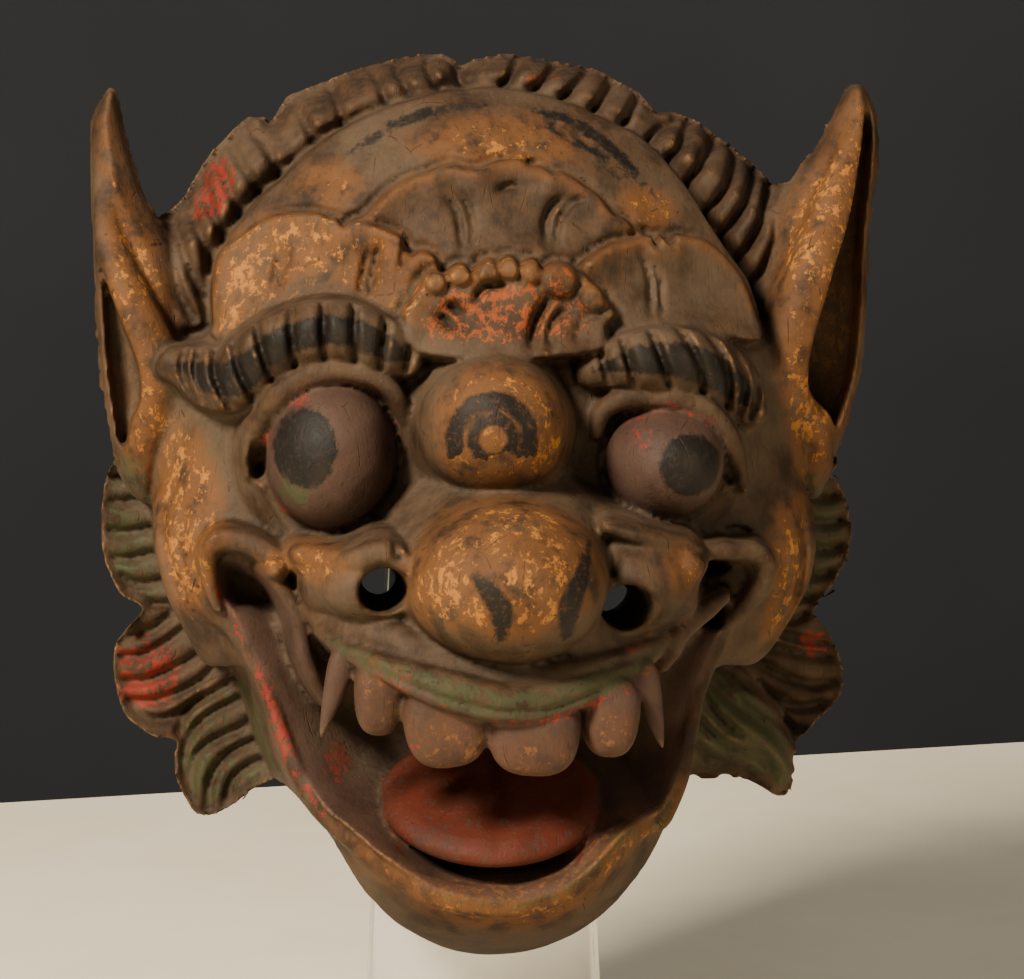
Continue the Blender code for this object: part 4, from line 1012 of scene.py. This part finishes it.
painted = Finish("old painted wood")
place = painted.node("TexCoord", {}, {}, "Object")
grain_place = painted.node("Mapping", {}, {"Vector": place, "Scale": (1.0, 1.0, 0.16)})
broad = painted.noise(place, 38.0, 5.0, 0.6)
blotch = painted.noise(place, 150.0, 6.0, 0.62)
speck = painted.noise(place, 620.0, 5.0, 0.7)
chips = painted.noise(place, 340.0, 6.0, 0.72)
grain = painted.noise(grain_place, 900.0, 4.0, 0.6)
rubbed_place = painted.node("Mapping", {}, {"Vector": place, "Scale": (1.0, 1.0, 0.55)})
rubbed = painted.noise(rubbed_place, 520.0, 6.0, 0.72)
fine, wide = painted.value("fine_bend"), painted.value("broad_hollow")

colour = painted.mix(blotch.ramp(0.36, 0.66), wood_dark, wood_mid)
colour = painted.mix(broad.ramp(0.38, 0.64) * 0.65 + grain.ramp(0.45, 0.7) * 0.2, colour, wood_dusty)
stain = painted.value("ochre").ramp(-4.0, 1.5) * blotch.ramp(0.30, 0.56)
colour = painted.mix(stain * 0.75, colour, stain_brown)
paint_cover = 0.0
for number, (coat, (tint, wear, fray, strength)) in enumerate(coats.items()):
    chipped = (painted.value(coat) - wear + (broad - 0.5) * (1.2 * fray) + (chips - 0.5) * (2.2 * fray)
               + (rubbed - 0.5) * (1.6 * fray))
    cover = chipped.ramp(-0.5, 0.9) * (speck.ramp(0.28, 0.5) * 0.45 + (strength - 0.45))
    colour = painted.mix(cover, colour, tint)
    paint_cover = cover if number == 0 else painted.math_max(paint_cover, cover)
proud = (0.0 - fine).ramp(0.10, 0.32) * rubbed.ramp(0.40, 0.60)
colour = painted.mix(proud * 0.6, colour, worn_wood)
# Darker patches: partly grime spread at random, partly painted shade laid into the broad hollows of the
# carving.
grime_and_hollow_shade = (1 - broad.ramp(0.34, 0.54)) * 0.40 + wide.ramp(0.5, 3.0) * 0.55
colour = painted.mix(grime_and_hollow_shade * chips.ramp(0.25, 0.6), colour, grime_and_shade_tone)
dusty = (wide.ramp(0.2, 2.6) * 0.45 + broad.ramp(0.48, 0.7) * 0.16) * speck.ramp(0.2, 0.62)
colour = painted.mix(dusty, colour, settled_dust)
# Painted shade: fine creases and chisel cuts are darkened towards near-black, as if light reached into
# them less.
painted_crease_shade = fine.ramp(0.06, 0.32) * 0.8
colour = painted.mix(painted_crease_shade, colour, crack_and_crease_shade)
pores = painted.node("TexVoronoi", {"feature": "F1"}, {"Vector": grain_place, "Scale": 520.0}, "Distance")
cracks = painted.node("TexVoronoi", {"feature": "DISTANCE_TO_EDGE"},
                      {"Vector": grain_place, "Scale": 95.0}, "Distance")
split = (1 - cracks.ramp(0.0, 0.018)) * blotch.ramp(0.52, 0.66)
colour = painted.mix(split * 0.7 + (1 - pores.ramp(0.06, 0.2)) * 0.25, colour, crack_and_crease_shade)
relief = (blotch * 0.5 + speck * 0.35 + grain * 0.35 + paint_cover * 0.25 + pores.ramp(0.0, 0.25) * 0.2
          - split * 0.8)
bump = painted.node("Bump", {}, {"Strength": 0.42, "Distance": 0.0009, "Height": relief})
painted.set(Base_Color=colour, Normal=bump,
            Roughness=0.60 + dusty * 0.25 + blotch * 0.12 - paint_cover * 0.10 - proud * 0.08)
painted.shader.inputs["Specular IOR Level"].default_value = 0.14
carving.data.materials.append(painted.material)


# The stand is a clear cast-acrylic post, tapered, glued on a plate of the same; its faces are
# polished and a little hazed by handling.
acrylic = Finish("clear acrylic")
place = acrylic.node("TexCoord", {}, {}, "Object")
haze = acrylic.noise(place, 55.0, 5.0, 0.6)
scuff_place = acrylic.node("Mapping", {}, {"Vector": place, "Scale": (1.0, 1.0, 0.08)})
scuffs = acrylic.noise(scuff_place, 700.0, 3.0, 0.6)
acrylic.set(Base_Color=acrylic.mix(haze.ramp(0.35, 0.7), (0.94, 0.93, 0.90, 1), (0.84, 0.82, 0.77, 1)),
            Roughness=0.06 + haze * 0.10 + scuffs.ramp(0.55, 0.75) * 0.14,
            Normal=acrylic.node("Bump", {}, {"Strength": 0.05, "Distance": 0.0003, "Height": scuffs}),
            IOR=1.49, Transmission_Weight=0.78)
for name in ("stand_post", "stand_foot"):
    for material_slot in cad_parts[name].material_slots:
        material_slot.material = acrylic.material


# The mask stands on a pale, matt table top, seen nearly edge on, in front of a plain dark grey
# wall. A warm key light comes from the upper left, a weaker one from the right, high up.
table_edge_pixels = ((0, 803), (1024, 742))
table_reach = 2.6


def on_table(pixel):
    """The place on the table top that the camera sees at a pixel."""
    right, up = ((pixel[0] - aim_pixel[0]) / frame_pixels[0], (aim_pixel[1] - pixel[1]) / frame_pixels[0])
    ray = Vector((right * sensor_width, up * sensor_width, -camera.data.lens))
    ray.rotate(camera.rotation_euler)
    return camera.location - ray * (camera.location.z / ray.z)


bpy.ops.object.select_all(action="DESELECT")
bpy.ops.mesh.primitive_plane_add(size=1, location=(0, 0, 0))
floor = bpy.context.object
floor.name = "table_top"
edge_left, edge_right = (on_table(pixel) for pixel in table_edge_pixels)
along_edge = (edge_right - edge_left).normalized()
far_left, far_right = edge_left - along_edge * table_reach, edge_right + along_edge * table_reach
near = Vector((0, -table_reach, 0))
for vert, corner in zip(floor.data.vertices, (far_left + near, far_right + near, far_left, far_right)):
    vert.co = corner
paper = Finish("pale matt table top")
place = paper.node("TexCoord", {}, {}, "Object")
mottle = paper.noise(place, 14.0, 5.0, 0.6)
fibre = paper.noise(place, 900.0, 3.0, 0.6)
paper.set(Base_Color=paper.mix(mottle.ramp(0.3, 0.72), (0.93, 0.85, 0.66, 1), (0.88, 0.79, 0.59, 1)),
          Roughness=0.74 + fibre * 0.14,
          Normal=paper.node("Bump", {}, {"Strength": 0.12, "Distance": 0.0004, "Height": fibre}))
floor.data.materials.append(paper.material)

bpy.ops.mesh.primitive_plane_add(size=1, location=(0, 0, 0))
wall_cloth = bpy.context.object
wall_cloth.name = "grey_wall"
for vert in wall_cloth.data.vertices:
    vert.co = (vert.co.x * 18, 2.1, vert.co.y * 9 + 1.0)
grey = Finish("dark grey wall paint")
tone = grey.noise(grey.node("TexCoord", {}, {}, "Object"), 2.2, 3.0, 0.5)
grey.set(Base_Color=grey.mix(tone.ramp(0.3, 0.7), (0.042, 0.045, 0.051, 1), (0.034, 0.037, 0.042, 1)),
         Roughness=0.9)
wall_cloth.data.materials.append(grey.material)

for name, place, size, power, colour in (
        ("key", (-0.72, -0.86, 1.00), 0.28, 56, (1, 0.88, 0.70)),
        ("right", (1.15, -0.70, 0.62), 0.5, 8, (1, 0.84, 0.64)),
        ("fill", (-0.35, -1.6, 0.75), 1.2, 3.0, (1, 0.93, 0.86)),
        ("wall", (0.0, 0.9, 1.7), 1.4, 9, (0.93, 0.96, 1.0))):
    bpy.ops.object.light_add(type="AREA", location=place)
    light = bpy.context.object
    light.name = f"{name}_light"
    light.data.size = size
    light.data.energy = power
    light.data.color = colour
    target = Vector((0, 2.1, 0.4)) if name == "wall" else Vector((0, 0, 0.2))
    light.rotation_euler = (target - Vector(place)).to_track_quat("-Z", "Y").to_euler()

world = bpy.data.worlds.new("studio")
world.use_nodes = True
world.node_tree.nodes["Background"].inputs["Color"].default_value = (0.62, 0.62, 0.64, 1)
world.node_tree.nodes["Background"].inputs["Strength"].default_value = 0.045
bpy.context.scene.world = world
